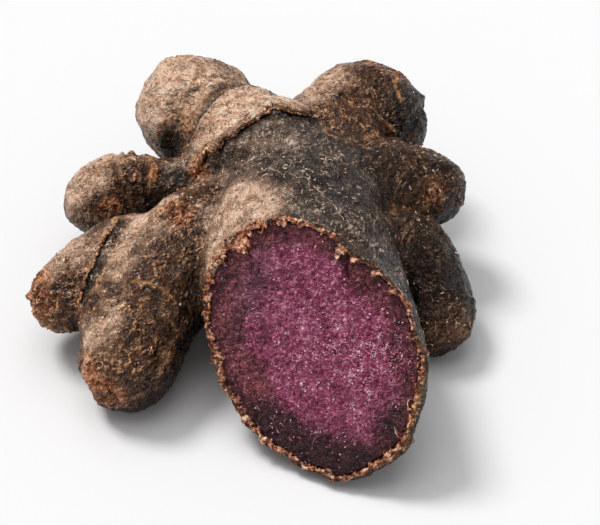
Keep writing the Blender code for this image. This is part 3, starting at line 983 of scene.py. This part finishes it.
def raise_peel(points, shares):
    """The height of the peel's relief at each point; how much painted shade lies in its pits, creases and
    gaps; how much painted highlight, or copper of a lip or raised line, lies on its crests; and how much bare
    skin is there.
    """
    tan = near(points, TAN_PLACES).clip(0, 1)
    slate = near(points, SLATE_PLACES).clip(0, 1) * (1 - tan)
    rugged = 1 - 0.55 * np.maximum(tan, slate)
    scab = near(points, SCABS)
    flakes = chips(points, 1.6, 2.0)
    wrinkles = lengthwise_wrinkles(points, shares, 1.1, 5.0, 20.0)
    folded = points + 0.9 * vector_noise(points, 1.8)
    folds = 1 - 2.6 * np.abs(soft_noise(folded, 1.3, 9.0))
    lumps = soft_noise(points, 3.4, 13.0)
    pebbles = smoothstep(soft_noise(folded, 0.85, 17.0), 0.05, 0.50)
    fine = rugged * (0.03 * flakes + 0.08 * wrinkles + 0.12 * folds + 0.15 * pebbles)
    height = fine + 0.22 * lumps
    height += scab * (0.50 * rough_noise(points, 1.1, 3.0) + 0.30 * flakes)
    lifted, gaps, lips, bare = edge_relief(points)
    ridges, crease_shade, rusty = ridge_relief(points)
    height += ring_relief(points) + lifted + ridges
    # Painted shade in the low parts of the fine relief, in the creases, round the knots and in the gaps under
    # lifted edges; painted highlight on the high parts, with the copper of the lips and raised lines.
    pit = smoothstep(fine, -0.08, -0.26) * 0.40
    pit = np.maximum.reduce([pit, crease_shade, 0.97 * smoothstep(gaps, 0.35, 0.85)])
    crest = smoothstep(fine, 0.20, 0.36) * 0.30
    crest = np.maximum.reduce([crest, 0.6 * lips, rusty])
    return height, pit, crest, bare


def shade_of_hollows(points):
    """How shut in each point is by the fingers round it, from 0 in the open to 1 deep in a gap."""
    skin = frame["nodes"]["rhizome"]
    tree = BVHTree.FromObject(skin, bpy.context.evaluated_depsgraph_get())
    corners, normals = points_of(skin), normals_of(skin)
    steps = np.arange(SHADE_RAYS) + 0.5
    rise, turn = 1 - 2 * steps / SHADE_RAYS, steps * math.pi * (1 + math.sqrt(5))
    ways = np.column_stack([np.sqrt(1 - rise**2) * np.cos(turn), np.sqrt(1 - rise**2) * np.sin(turn), rise])
    corners, picked = np.unique(corners.round(3), axis=0, return_index=True)
    shut = []
    for corner, normal in zip(corners, normals[picked]):
        start = Vector((corner + 0.6 * normal) * MM)
        facing = ways @ normal
        hits = 0.0
        for number in np.flatnonzero(facing > 0.1):
            if tree.ray_cast(start, Vector(ways[number]), SHADE_REACH * MM)[0]:
                hits += facing[number]
        shut.append(hits / facing[facing > 0.1].sum())
    shut = np.array(shut)
    places = KDTree(len(corners))
    for index, corner in enumerate(corners):
        places.insert(Vector(corner), index)
    places.balance()
    near_by = [[index for _, index, _ in places.find_n(Vector(point), 4)] for point in points]
    return shut[np.array(near_by)].mean(1)


def rebuilt_skin():
    """A merged copy of the CAD rhizome, rounded and rebuilt in small even faces."""
    bpy.ops.object.select_all(action="DESELECT")
    peel = bpy.data.objects.new("peel", frame["nodes"]["rhizome"].data.copy())
    bpy.context.scene.collection.objects.link(peel)
    only(peel)
    bpy.ops.object.mode_set(mode="EDIT")
    bpy.ops.mesh.select_all(action="SELECT")
    bpy.ops.mesh.remove_doubles(threshold=0.001 * MM)
    bpy.ops.object.mode_set(mode="OBJECT")
    apply_modifier(peel, "SUBSURF", levels=2, render_levels=2)
    apply_modifier(peel, "REMESH", mode="VOXEL", voxel_size=PEEL_GRAIN * MM)
    apply_modifier(peel, "SMOOTH", factor=0.5, iterations=12)
    return peel


def slices_of(piece, count):
    """Cuts a piece into slices like a cake's, with normals that hide where they meet."""
    faces = len(piece.data.polygons)
    middles = np.empty(faces * 3)
    piece.data.polygons.foreach_get("center", middles)
    angles = np.arctan2(middles[1::3], middles[0::3])
    steps = np.quantile(angles, np.linspace(0, 1, count + 1)[1:-1])
    slice_of = np.searchsorted(steps, angles)
    outward = piece.data.attributes.new("outward", "FLOAT_VECTOR", "POINT")
    outward.data.foreach_set("vector", normals_of(piece).ravel())
    slices = [piece]
    for number in range(1, count):
        piece.data.polygons.foreach_set("select", slice_of == number)
        only(piece)
        before = set(bpy.data.objects)
        bpy.ops.object.mode_set(mode="EDIT")
        bpy.ops.mesh.separate(type="SELECTED")
        bpy.ops.object.mode_set(mode="OBJECT")
        slice_of = slice_of[slice_of != number]
        slices += set(bpy.data.objects) - before
    return slices


def smooth_across_slices(piece):
    normals = np.empty(len(piece.data.vertices) * 3)
    outward = piece.data.attributes["outward"]
    outward.data.foreach_get("vector", normals)
    piece.data.attributes.remove(outward)
    piece.data.normals_split_custom_set_from_vertices(normals.reshape(-1, 3).tolist())


def drawn_out(points, shares):
    """The places squeezed along each finger, so that a pattern laid on them runs lengthwise."""
    drawn = np.zeros_like(points)
    for column, (root, tip, _) in enumerate(FINGERS.values()):
        way = unit(np.array(tip) - np.array(root))
        drawn += shares[:, column, None] * (points - 0.55 * (points @ way)[:, None] * way)
    return drawn


def make_peel(peel, reach):
    """The whole skin with its relief, in slices, and the surface that the small things are laid on."""
    points, normals = points_of(peel), normals_of(peel)
    shares = shares_of_fingers(points)
    height, pit, crest, bare = raise_peel(points, shares)
    over, across, uphill = in_the_cut(points)
    angle = np.arctan2(uphill, across)
    inside = np.hypot(across, uphill) < reach(angle) - fold_in(angle) - 0.15
    on_cut = (normals @ FACING > 0.6) & (np.abs(over) < 1.5) & inside
    raised = points + normals * np.where(on_cut, -0.7, height)[:, None]
    raised[:, 2] = raised[:, 2].clip(0.0)
    set_amount(peel, "pit", pit)
    set_amount(peel, "crest", crest)
    set_amount(peel, "tan", near(points, TAN_PLACES) * (1 - 0.9 * bare))
    set_amount(peel, "slate", near(points, SLATE_PLACES) + 0.6 * bare)
    rust = near(points, RUST_PLACES)
    set_amount(peel, "rust", rust)
    # Painted shade: darker where the fingers shut a place in, and on faces turned away from the painted
    # light; with the dark places this makes "dark", which the peel's material multiplies in.
    hollow_shade = smoothstep(shade_of_hollows(points), 0.12, 0.60)
    sunny = normals @ unit(PAINTED_LIGHT_SIDE)
    painted_side_shade = 0.97 * smoothstep(sunny, 0.45, -0.60)
    dark = np.maximum.reduce([0.65 * hollow_shade, painted_side_shade, near(points, DARK_AND_SHADED_PLACES)])
    set_amount(peel, "dark", dark * (1 - 0.7 * rust.clip(0, 1)))
    # Painted sheen: paler on faces turned towards the painted light.
    set_amount(peel, "painted_sheen", smoothstep(sunny, 0.60, 1.0) * (1 - bare))
    drawn = peel.data.attributes.new("drawn", "FLOAT_VECTOR", "POINT")
    drawn.data.foreach_set("vector", drawn_out(points, shares).ravel())
    move_points(peel, raised)
    surface = BVHTree.FromObject(peel, bpy.context.evaluated_depsgraph_get())
    places = face_places(peel)
    material = make_peel_material()
    for piece in slices_of(peel, PEEL_SLICES):
        finish_piece(piece, material)
        smooth_across_slices(piece)
    return surface, places


def face_places(piece):
    """The area, middle and normal of each face."""
    count = len(piece.data.polygons)
    areas, middles, normals = np.empty(count), np.empty(count * 3), np.empty(count * 3)
    piece.data.polygons.foreach_get("area", areas)
    piece.data.polygons.foreach_get("center", middles)
    piece.data.polygons.foreach_get("normal", normals)
    return areas, middles.reshape(-1, 3) / MM, normals.reshape(-1, 3)


# The flesh and its rim

def rim_distance(skin):
    """How far the cut reaches from its middle in each direction, as a function of the angle."""
    angles = np.radians(np.arange(0, 360, 2.0))
    reaches = []
    for depth in (1.6, 3.2):
        start = Vector((np.array(CUT_MIDDLE) - depth * FACING) * MM)
        reaches.append([skin.ray_cast(start, Vector(outward_in_cut(angle)))[3] / MM for angle in angles])
    reach = 2 * np.array(reaches[0]) - np.array(reaches[1])
    around = np.median([np.roll(reach, step) for step in range(-2, 3)], axis=0)
    around = sum(np.roll(around, step) for step in (-1, 0, 1)) / 3
    return lambda angle: np.interp(np.mod(angle, 2 * math.pi), [*angles, 2 * math.pi], [*around, around[0]])


def fold_in(angle):
    """How far the outer skin rolls in over the cut, most at the lower right."""
    away = np.mod(angle + math.radians(25) + math.pi, 2 * math.pi) - math.pi
    return 0.15 + 0.95 * np.exp(-((away / math.radians(32)) ** 2))


def crustiness(angle):
    """How much thick crumbling crust the rim carries: all on the left, hardly any on the right."""
    return smoothstep(np.cos(angle - math.radians(195)), -0.35, 0.55)


def flesh_zones(across, uphill, share):
    """How much of the bright core, the grey veil, the rusty specks and the dark spots is at each place."""
    flat = np.column_stack([across, uphill, np.zeros(len(across))])
    wobble = 0.14 * soft_noise(flat, 5.0, 41.0)
    out = np.hypot((across - 1.0 + 0.40 * uphill) / 14.5, (uphill - 2.0) / 16.5)
    core = smoothstep(out + wobble, 1.12, 0.76)
    veil = 0.7 * np.exp(-(((across + 13.5) / 3.5) ** 2 + ((uphill - 8) / 7) ** 2))
    rusty = smoothstep(share, 0.70, 0.90)
    shaded = 0.75 * np.exp(-(((across - 1.5) / 4.5) ** 2 + ((uphill - 21) / 3.0) ** 2))
    shaded = np.maximum(shaded, 0.7 * np.exp(-(((across - 16) / 3.5) ** 2 + ((uphill + 8) / 7) ** 2)))
    shaded = np.maximum(shaded, 0.6 * smoothstep(share + 0.6 * wobble, 0.86, 1.0))
    shaded = np.maximum(shaded, 0.80 * smoothstep(uphill + 6 * wobble, -9, -15))
    return {"core": core, "veil": veil, "rusty": rusty, "shaded": shaded}


def make_flesh(reach):
    bpy.ops.object.select_all(action="DESELECT")
    bpy.ops.mesh.primitive_grid_add(x_subdivisions=FLESH_LINES, y_subdivisions=FLESH_LINES, size=2)
    flesh = bpy.context.object
    flesh.name = "flesh"
    square = points_of(flesh) * MM
    u = square[:, 0] * np.sqrt(1 - square[:, 1] ** 2 / 2)
    v = square[:, 1] * np.sqrt(1 - square[:, 0] ** 2 / 2)
    share, angle = np.hypot(u, v), np.arctan2(v, u)
    radius = share * (reach(angle) - fold_in(angle) - 0.30)
    points = on_the_cut(radius * np.cos(angle), radius * np.sin(angle))
    hollows = soft_noise(points, 5.0, 2.0)
    grain = rough_noise(points, 0.8, 4.0)
    crumbs = chips(points, 0.9, 8.0)
    pits = smoothstep(soft_noise(points, 1.0, 6.0), 0.35, 0.6)
    height = 0.22 * hollows + 0.09 * grain + 0.06 * crumbs - 0.20 * pits
    height += 0.25 * smoothstep(share, 0.80, 0.93) - 0.9 * smoothstep(share, 0.96, 1.0)
    _, across, uphill = in_the_cut(points)
    notch = np.exp(-(((across - 2.0 - 0.4 * np.sin(uphill)) / 0.35) ** 2)) * smoothstep(uphill, 12.0, 15.0)
    height -= 0.5 * notch
    points = points + np.outer(height - 0.05, FACING)
    for name, amount in flesh_zones(across, uphill, share).items():
        set_amount(flesh, name, amount)
    move_points(flesh, points)
    finish_piece(flesh, make_flesh_material())
    return BVHTree.FromObject(flesh, bpy.context.evaluated_depsgraph_get())


def rim_point(reach, angle, inward=0.0, height=0.0):
    radius = reach(angle) - fold_in(angle) - inward
    flat = on_the_cut(radius * np.cos(angle), radius * np.sin(angle))
    return flat + np.outer(np.broadcast_to(height, len(flat)), FACING)


def rim_middle(reach, angle):
    """Where the torn edge runs: how far in from the skin its middle lies, and how high over the cut."""
    spot = rim_point(reach, angle)
    inward = 0.30 + 0.28 * soft_noise(spot, 1.2, 12.0) + 0.16 * soft_noise(spot, 0.5, 13.0)
    return inward, 0.15 + 0.25 * soft_noise(spot, 1.0, 14.0)


def on_rim(reach, angle, inward, height):
    """A place this far in from the torn edge's middle, and this far over it."""
    angles = np.array([angle])
    middle, level = rim_middle(reach, angles)
    return rim_point(reach, angles, middle + inward, level + height)[0]


def make_rim(reach, material):
    """The torn edge of the peel round the cut, from a ring that is pressed onto the cut's outline."""
    bpy.ops.object.select_all(action="DESELECT")
    tube = 0.25
    bpy.ops.mesh.primitive_torus_add(
        major_segments=RIM_STEPS, minor_segments=14, major_radius=1.0, minor_radius=tube
    )
    rim = bpy.context.object
    rim.name = "rim"
    points = points_of(rim) * MM
    angle = np.arctan2(points[:, 1], points[:, 0])
    outward, up = (np.hypot(points[:, 0], points[:, 1]) - 1) / tube, points[:, 2] / tube
    spot = rim_point(reach, angle)
    crust = crustiness(angle)
    thick = 0.48 - 0.11 * crust + 0.22 * soft_noise(spot, 1.3, 3.0) + 0.12 * soft_noise(spot, 0.7, 5.0)
    tall = 0.32 + 0.04 * crust + 0.20 * soft_noise(spot, 1.1, 8.0)
    thick, tall = thick.clip(0.10), tall.clip(0.10)
    centre = rim_point(reach, angle, *rim_middle(reach, angle))
    radial = np.outer(np.cos(angle), ACROSS) + np.outer(np.sin(angle), UPHILL)
    body = (outward * thick)[:, None] * radial + np.outer(up * tall, FACING)
    shape = centre + body
    roughness = 0.14 * soft_noise(shape, 0.7, 6.0) + 0.12 * chips(shape, 0.6, 4.0)
    shape += unit_rows(body) * (roughness * (0.7 + 0.3 * crust))[:, None]
    shape[:, 2] = shape[:, 2].clip(0.05)
    move_points(rim, shape)
    finish_piece(rim, material)


# Small shapes, each modelled once and copied

def taken(piece):
    """The points and faces of a shape modelled once; the piece itself goes."""
    shape = points_of(piece), [tuple(face.vertices) for face in piece.data.polygons]
    bpy.data.objects.remove(piece)
    return shape


def model_crumb():
    """A rough stone, 1 mm in radius."""
    bpy.ops.object.select_all(action="DESELECT")
    bpy.ops.mesh.primitive_ico_sphere_add(subdivisions=1, radius=MM)
    return taken(bpy.context.object)


def model_plate(columns, rows, thickness):
    """A thin plate 1 mm square, rooted at y = 0 and reaching to y = 1."""
    bpy.ops.object.select_all(action="DESELECT")
    bpy.ops.mesh.primitive_grid_add(
        x_subdivisions=columns, y_subdivisions=rows, size=MM, location=(0, 0.5 * MM, 0)
    )
    plate = bpy.context.object
    bpy.ops.object.transform_apply()
    apply_modifier(plate, "SOLIDIFY", thickness=thickness * MM)
    return taken(plate)


def model_thread():
    """A three-sided thread 1 mm long along X and 1 mm in radius, cut into six lengths."""
    bpy.ops.object.select_all(action="DESELECT")
    bpy.ops.mesh.primitive_cylinder_add(vertices=3, radius=MM, depth=MM, rotation=(0, math.pi / 2, 0))
    thread = bpy.context.object
    bpy.ops.object.transform_apply()
    bpy.ops.object.mode_set(mode="EDIT")
    bpy.ops.mesh.select_all(action="DESELECT")
    bpy.ops.mesh.select_mode(type="EDGE")
    bpy.ops.object.mode_set(mode="OBJECT")
    ends = points_of(thread)[:, 0]
    for edge in thread.data.edges:
        edge.select = bool(ends[edge.vertices[0]] * ends[edge.vertices[1]] < 0)
    bpy.ops.object.mode_set(mode="EDIT")
    bpy.ops.mesh.subdivide(number_cuts=5)
    bpy.ops.object.mode_set(mode="OBJECT")
    return taken(thread)


def bent_thread(thread, length, width, curl, wave):
    """A copy of the thread, curled and waved in the plane it lies in."""
    points, faces = thread
    t = np.linspace(0, 1, 25)
    heading = curl * (t - 0.5) + wave * np.sin(2 * math.pi * t + curl)
    line = np.cumsum(np.column_stack([np.cos(heading), np.sin(heading)]), axis=0) * length / 25
    line -= line.mean(0)
    here = points[:, 0] + 0.5
    middle = np.column_stack([np.interp(here, t, line[:, axis]) for axis in (0, 1)])
    turn = np.interp(here, t, heading)
    fat = width * (1 - 0.75 * np.abs(2 * here - 1) ** 1.5)
    side = points[:, 1] * fat
    flat = middle + np.column_stack([-np.sin(turn), np.cos(turn)]) * side[:, None]
    return np.column_stack([flat, points[:, 2] * fat]), faces


def rough_crumb(crumb, size):
    points, faces = crumb
    stretched = points * rng.uniform(0.30, 1.30, 3) * size
    return stretched * rng.uniform(0.70, 1.30, (len(points), 1)), faces


def curled_flake(flake, width, reach, curl):
    """A copy of the plate that curls up towards its tip and has an uneven outline."""
    points, faces = flake
    x, t, thick = points[:, 0], points[:, 1], points[:, 2]
    bend = curl * t
    x = x * width * (1 - 0.5 * t * t) * (1 + 0.3 * np.sin(7 * t + 9 * reach))
    x += 0.15 * width * np.sin(5 * t + 4 * width)
    y = reach * np.sin(bend) / curl + 0.12 * reach * np.sin(9 * x / width)
    z = reach * (1 - np.cos(bend)) / curl + 0.10 * reach * np.sin(6 * x / width + 3 * t)
    return np.column_stack([x, y - thick * np.sin(bend), z + thick * np.cos(bend)]), faces


def torn_flap(flap, width, reach):
    """A copy of the fine plate with a torn outline, crumpled and thick towards its tip."""
    points, faces = flap
    x, t, thick = points[:, 0], points[:, 1], points[:, 2]
    along = np.column_stack([x * width, np.zeros(len(x)), np.zeros(len(x))])
    torn = 0.75 - 1.6 * x * x + 0.35 * soft_noise(along, 1.1, 51.0) + 0.20 * soft_noise(along, 0.5, 52.0)
    flat = np.column_stack([x * width * (1 - 0.25 * t), t * reach * torn.clip(0.15), 12 * thick * (0.4 + t)])
    crumpled = 0.35 * soft_noise(flat * (1, 1, 0), 1.4, 53.0) + 0.16 * soft_noise(flat, 0.6, 54.0)
    flat[:, 2] += crumpled + 0.25 * t * t
    return flat, faces


def turned(shape, root, *ways):
    """The shape set on a root, with its own X, Y and Z along these ways."""
    points, faces = shape
    return root + points @ np.array(ways), faces


def copies(name, shapes, material):
    """One piece from many small shapes, each given as points and faces."""
    points, faces, start = [], [], 0
    for shape_points, shape_faces in shapes:
        points.append(shape_points)
        faces.extend(tuple(start + corner for corner in face) for face in shape_faces)
        start += len(shape_points)
    placed = np.vstack(points)
    placed[:, 2] = placed[:, 2].clip(0.02)
    mesh = bpy.data.meshes.new(name)
    mesh.from_pydata((placed * MM).tolist(), [], faces)
    mesh.validate()
    piece = bpy.data.objects.new(name, mesh)
    bpy.context.scene.collection.objects.link(piece)
    only(piece)
    bpy.ops.object.mode_set(mode="EDIT")
    bpy.ops.mesh.select_all(action="SELECT")
    bpy.ops.mesh.normals_make_consistent(inside=False)
    bpy.ops.object.mode_set(mode="OBJECT")
    finish_piece(piece, material)


def rim_angle(place):
    _, across, uphill = in_the_cut(np.array([place]))
    return math.atan2(uphill[0], across[0])


def leaning(angle, lean, stray=0.0):
    """The ways of a plate on the rim that leans this far over the flesh: sideways, ahead and out of it."""
    radial = outward_in_cut(angle)
    ahead = unit(FACING * math.cos(lean) - radial * math.sin(lean) + stray)
    side = unit(np.cross(ahead, FACING * math.sin(lean) + radial * math.cos(lean)))
    return side, ahead, np.cross(side, ahead)


def rim_plates(reach):
    """The large torn plates that lean over the flesh."""
    flap = model_plate(26, 20, 0.05)
    for place, width, depth, lean in PLATES:
        angle = rim_angle(place)
        root = rim_point(reach, np.array([angle]), 0.1, 0.25)[0]
        yield turned(torn_flap(flap, width, depth), root, *leaning(angle, lean))


def small_flakes(reach):
    """The small curled flakes, all round the rim."""
    flake = model_plate(3, 4, 0.08)
    plates = []
    for _ in range(RIM_FLAKES):
        angle, size = rng.uniform(0, 2 * math.pi), rng.uniform(0.3, 0.9)
        size *= 0.8 + 0.3 * crustiness(angle)
        depth = size * rng.uniform(0.6, 1.2)
        plates.append((angle, size, depth, rng.normal(0.5, 0.4), rng.uniform(0.3, 2.2)))
    for angle, width, depth, lean, curl in plates:
        ways = leaning(angle, lean, rng.normal(0, 0.15, 3))
        root = on_rim(reach, angle, rng.uniform(-0.20, 0.25), rng.uniform(-0.15, 0.15))
        yield turned(curled_flake(flake, width, depth, curl), root, *ways)


def rim_crumbs(reach):
    """The crumbs of the rim, most of them where its crust is thick."""
    crumb = model_crumb()
    weights = np.linspace(0, 2 * math.pi, 720)
    share = 0.18 + crustiness(weights)
    for angle in rng.choice(weights, RIM_CRUMBS, p=share / share.sum()) + rng.uniform(0, 0.009, RIM_CRUMBS):
        crust = crustiness(angle)
        points, faces = rough_crumb(crumb, rng.lognormal(-1.50, 0.50) * (0.70 + 0.60 * crust))
        away = np.clip(rng.normal(0.05, 0.14 + 0.22 * crust), -0.30, 0.55)
        yield on_rim(reach, angle, away, rng.uniform(-0.15, 0.22)) + points, faces


def rim_curls(reach):
    """The curled strips of peel: the marked ones, and small ones on the right."""
    thread = model_thread()
    curls = [(rim_angle(place), 4.5 * size, 0.20) for place, size in CURLS]
    for _ in range(RIM_CURLS):
        curls.append((rng.uniform(-1.3, 1.3), rng.uniform(1.2, 2.8), rng.uniform(0.10, 0.18)))
    for angle, length, width in curls:
        strip = bent_thread(thread, length, width, rng.uniform(3.5, 5.5), rng.normal(0, 0.6))
        root = on_rim(reach, angle, rng.uniform(-0.10, 0.25), 0.25)
        yield turned(strip, root, ACROSS, UPHILL, FACING)


def make_rim_flakes(reach, material):
    shapes = [*rim_plates(reach), *small_flakes(reach), *rim_crumbs(reach), *rim_curls(reach)]
    copies("rim_flakes", shapes, material)


def make_flesh_threads(reach, flesh, material):
    """The fine curled threads and the small crystals that stand out of the flesh."""
    thread, crumb = model_thread(), model_crumb()
    shapes = []
    for number in range(FLESH_THREADS + CRYSTALS):
        across, uphill = rng.normal(1.0, 8.5), rng.normal(1.0, 9.5)
        if number % 3 == 0:
            across, uphill = rng.normal(11.0, 3.0), rng.normal(1.5, 4.5)
        angle = math.atan2(uphill, across)
        if math.hypot(across, uphill) > reach(angle) - fold_in(angle) - 1.0:
            continue
        place = np.array(CUT_MIDDLE) + across * ACROSS + uphill * UPHILL + 4 * FACING
        hit = flesh.ray_cast(Vector(place) * MM, Vector(-FACING))
        if hit[0] is None:
            continue
        if number < FLESH_THREADS:
            length, width = rng.lognormal(0.0, 0.45), rng.uniform(0.040, 0.075)
            shape = bent_thread(thread, length, width, rng.normal(0, 2.0), rng.normal(0, 0.8))
        else:
            shape = rough_crumb(crumb, rng.uniform(0.08, 0.24))
        shapes.append(laid_on(shape, np.array(hit[0]) / MM + 0.02 * FACING, FACING))
    copies("flesh_threads", shapes, material)


# Lifted edges

def snapped(path, skin):
    """The path laid on the skin, with the skin's normals there."""
    hits = [skin.find_nearest(Vector(point) * MM) for point in path]
    return np.array([hit[0] for hit in hits]) / MM, np.array([hit[1] for hit in hits])


def edge_strip(path, normals, way, rise, reach, seed):
    """A thin ragged lip along a path, as points and faces: it rises behind the path and reaches over it."""
    tangents = unit_rows(np.gradient(path, axis=0))
    behind = unit_rows(way - (way * tangents).sum(1)[:, None] * tangents)
    behind = unit_rows(behind - (behind * normals).sum(1)[:, None] * normals)
    count = len(path)
    ends = smoothstep(np.minimum(np.arange(count), np.arange(count)[::-1]), 0, 14)
    ragged = 0.70 + 0.9 * soft_noise(path, 0.9, seed) + 0.9 * soft_noise(path, 0.4, seed + 2)
    ragged = ragged.clip(0.05) * ends
    lift = 0.6 + 0.9 * soft_noise(path, 1.1, seed + 4) + 0.6 * soft_noise(path, 0.5, seed + 5)
    lift = lift.clip(0.08) * ends
    profile = (  # behind, up
        (1.0, -0.30), (0.5, 0.30), (-0.3, 0.62), (-1.0, 0.50), (-1.0, 0.25), (-0.2, 0.15), (0.3, -0.30),
    )
    rows = []
    for back, up in profile:
        out = back * 1.3 * reach
        side = np.where(out < 0, out * ragged, out)
        rows.append(path + behind * side[:, None] + normals * (up * rise * lift)[:, None])
    points = np.array(rows).transpose(1, 0, 2).reshape(-1, 3)
    faces, width = [], len(profile)
    for here in range(0, (count - 1) * width, width):
        after = here + width
        for column in range(width):
            beside = (column + 1) % width
            faces.append((here + column, here + beside, after + beside, after + column))
    faces.append(tuple(range(width))[::-1])
    faces.append(tuple((count - 1) * width + column for column in range(width)))
    return points, faces


def make_scale_edges(skin, material):
    shapes = []
    for number, (line, rise, reach, _, way) in enumerate(SCALE_EDGES.values()):
        path = smooth_path(line, LIP_SPACING)
        way = unit(way)
        ahead = np.gradient(path, axis=0)
        behind = unit_rows(way - (ahead @ way)[:, None] * ahead)
        path, normals = snapped(path + (0.35 - edge_wobble(path))[:, None] * behind, skin)
        way = np.broadcast_to(way, path.shape)
        shapes.append(edge_strip(path, normals, way, rise, reach, 20.0 + number))
    copies("scale_edges", shapes, material)


# Fibres and flecks

def skin_spots(places, count, liking):
    """Places on the peel's faces, picked at random in proportion to area and to how much each is liked."""
    areas, middles, normals = places
    over = in_the_cut(middles)[0]
    allowed = ((over < -0.8) | (middles[:, 1] > -14)) & (middles[:, 2] > 0.4)
    weights = areas * liking(middles) * allowed
    picked = rng.choice(len(areas), count, p=weights / weights.sum())
    return middles[picked], normals[picked]


def laid_on(shape, spot, normal):
    """The shape laid flat on a surface, turned at random."""
    along = unit(np.cross(normal, rng.normal(0, 1, 3)))
    return turned(shape, spot, along, np.cross(normal, along), normal)


def make_threads(skin, places, material):
    def liking(points):
        grey_and_rusty = 0.5 * near(points, SLATE_PLACES) + 0.4 * near(points, RUST_PLACES)
        return 0.30 + grey_and_rusty + near(points, FIBRE_PLACES)

    thread = model_thread()
    shapes = []
    for spot, normal in zip(*skin_spots(places, THREADS, liking)):
        length = rng.lognormal(0.10, 0.35)
        shape = bent_thread(thread, length, rng.uniform(0.08, 0.16), rng.normal(0, 3.2), rng.normal(0, 0.8))
        shapes.append(laid_on(shape, spot, normal))
    for number, line in enumerate(FIBRE_LINES):
        path = smooth_path(line, LIP_SPACING)
        path, normals = snapped(path + 0.6 * vector_noise(path, 0.9), skin)
        way = np.broadcast_to((0.3, 0.9, 0.1), path.shape)
        shapes.append(edge_strip(path, normals, way, 0.25, 0.07, 40.0 + number))
    copies("threads", shapes, material)


def make_flecks(places, material):
    def liking(points):
        return 0.18 + 2.5 * near(points, RUST_PLACES) - 0.12 * near(points, SLATE_PLACES)

    crumb = model_crumb()
    shapes = []
    for spot, normal in zip(*skin_spots(places, FLECKS, liking)):
        scabby = near(np.array([spot]), SCABS)[0]
        points, faces = rough_crumb(crumb, rng.lognormal(-1.50, 0.45) * (1 + 0.9 * scabby))
        shapes.append(laid_on((points * (1, 0.7, 0.5), faces), spot, normal))
    copies("flecks", shapes, material)


# Light and camera

def make_floor():
    bpy.ops.object.select_all(action="DESELECT")
    bpy.ops.mesh.primitive_plane_add(size=4)
    floor = bpy.context.object
    floor.name = "floor"
    material, _, shader = new_material("pale_table")
    shader.inputs["Base Color"].default_value = (0.93, 0.93, 0.93, 1)
    shader.inputs["Roughness"].default_value = 0.9
    shader.inputs["Specular IOR Level"].default_value = 0.1
    floor.data.materials.append(material)
    floor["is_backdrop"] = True


def make_light(name, towards, strength, softness):
    light = bpy.data.lights.new(name, "SUN")
    light.energy = strength
    light.angle = math.radians(softness)
    lamp = bpy.data.objects.new(name, light)
    lamp.rotation_euler = (-Vector(towards)).to_track_quat("-Z", "Y").to_euler()
    bpy.context.scene.collection.objects.link(lamp)


def make_lights():
    scene = bpy.context.scene
    scene.world = bpy.data.worlds.new("studio")
    scene.world.use_nodes = True
    background = scene.world.node_tree.nodes["Background"]
    background.inputs["Color"].default_value = (1.0, 1.0, 1.0, 1)
    background.inputs["Strength"].default_value = 0.34
    make_light("key", (-0.12, 0.20, 0.97), 0.90, 60)
    make_light("side", (-0.42, 0.36, 0.83), 1.65, 18)
    scene.view_settings.view_transform = "Standard"


def make_camera():
    angle = math.radians(CAMERA_HEIGHT_ANGLE)
    forward = Vector((0, math.cos(angle), -math.sin(angle)))
    camera = bpy.data.cameras.new("camera")
    camera.lens = CAMERA_LENS
    camera.clip_start = 0.01
    holder = bpy.data.objects.new("camera", camera)
    holder.location = (Vector(CAMERA_AIM) - forward * CAMERA_DISTANCE) * MM
    holder.rotation_euler = forward.to_track_quat("-Z", "Y").to_euler()
    bpy.context.scene.collection.objects.link(holder)
    bpy.context.scene.camera = holder


def main():
    make_camera()
    make_lights()
    make_floor()
    peel = rebuilt_skin()
    reach = rim_distance(BVHTree.FromObject(peel, bpy.context.evaluated_depsgraph_get()))
    skin, places = make_peel(peel, reach)
    flesh = make_flesh(reach)
    make_flesh_threads(reach, flesh, make_crystal_material())
    rim_material = make_rim_material()
    make_rim(reach, rim_material)
    make_rim_flakes(reach, rim_material)
    make_scale_edges(skin, make_lip_material())
    make_threads(skin, places, make_thread_material())
    make_flecks(places, make_fleck_material())


main()
boxes = {"cad": CAD_BOX, "visual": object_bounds()}
{name: [[float(value) for value in corner] for corner in box] for name, box in boxes.items()}
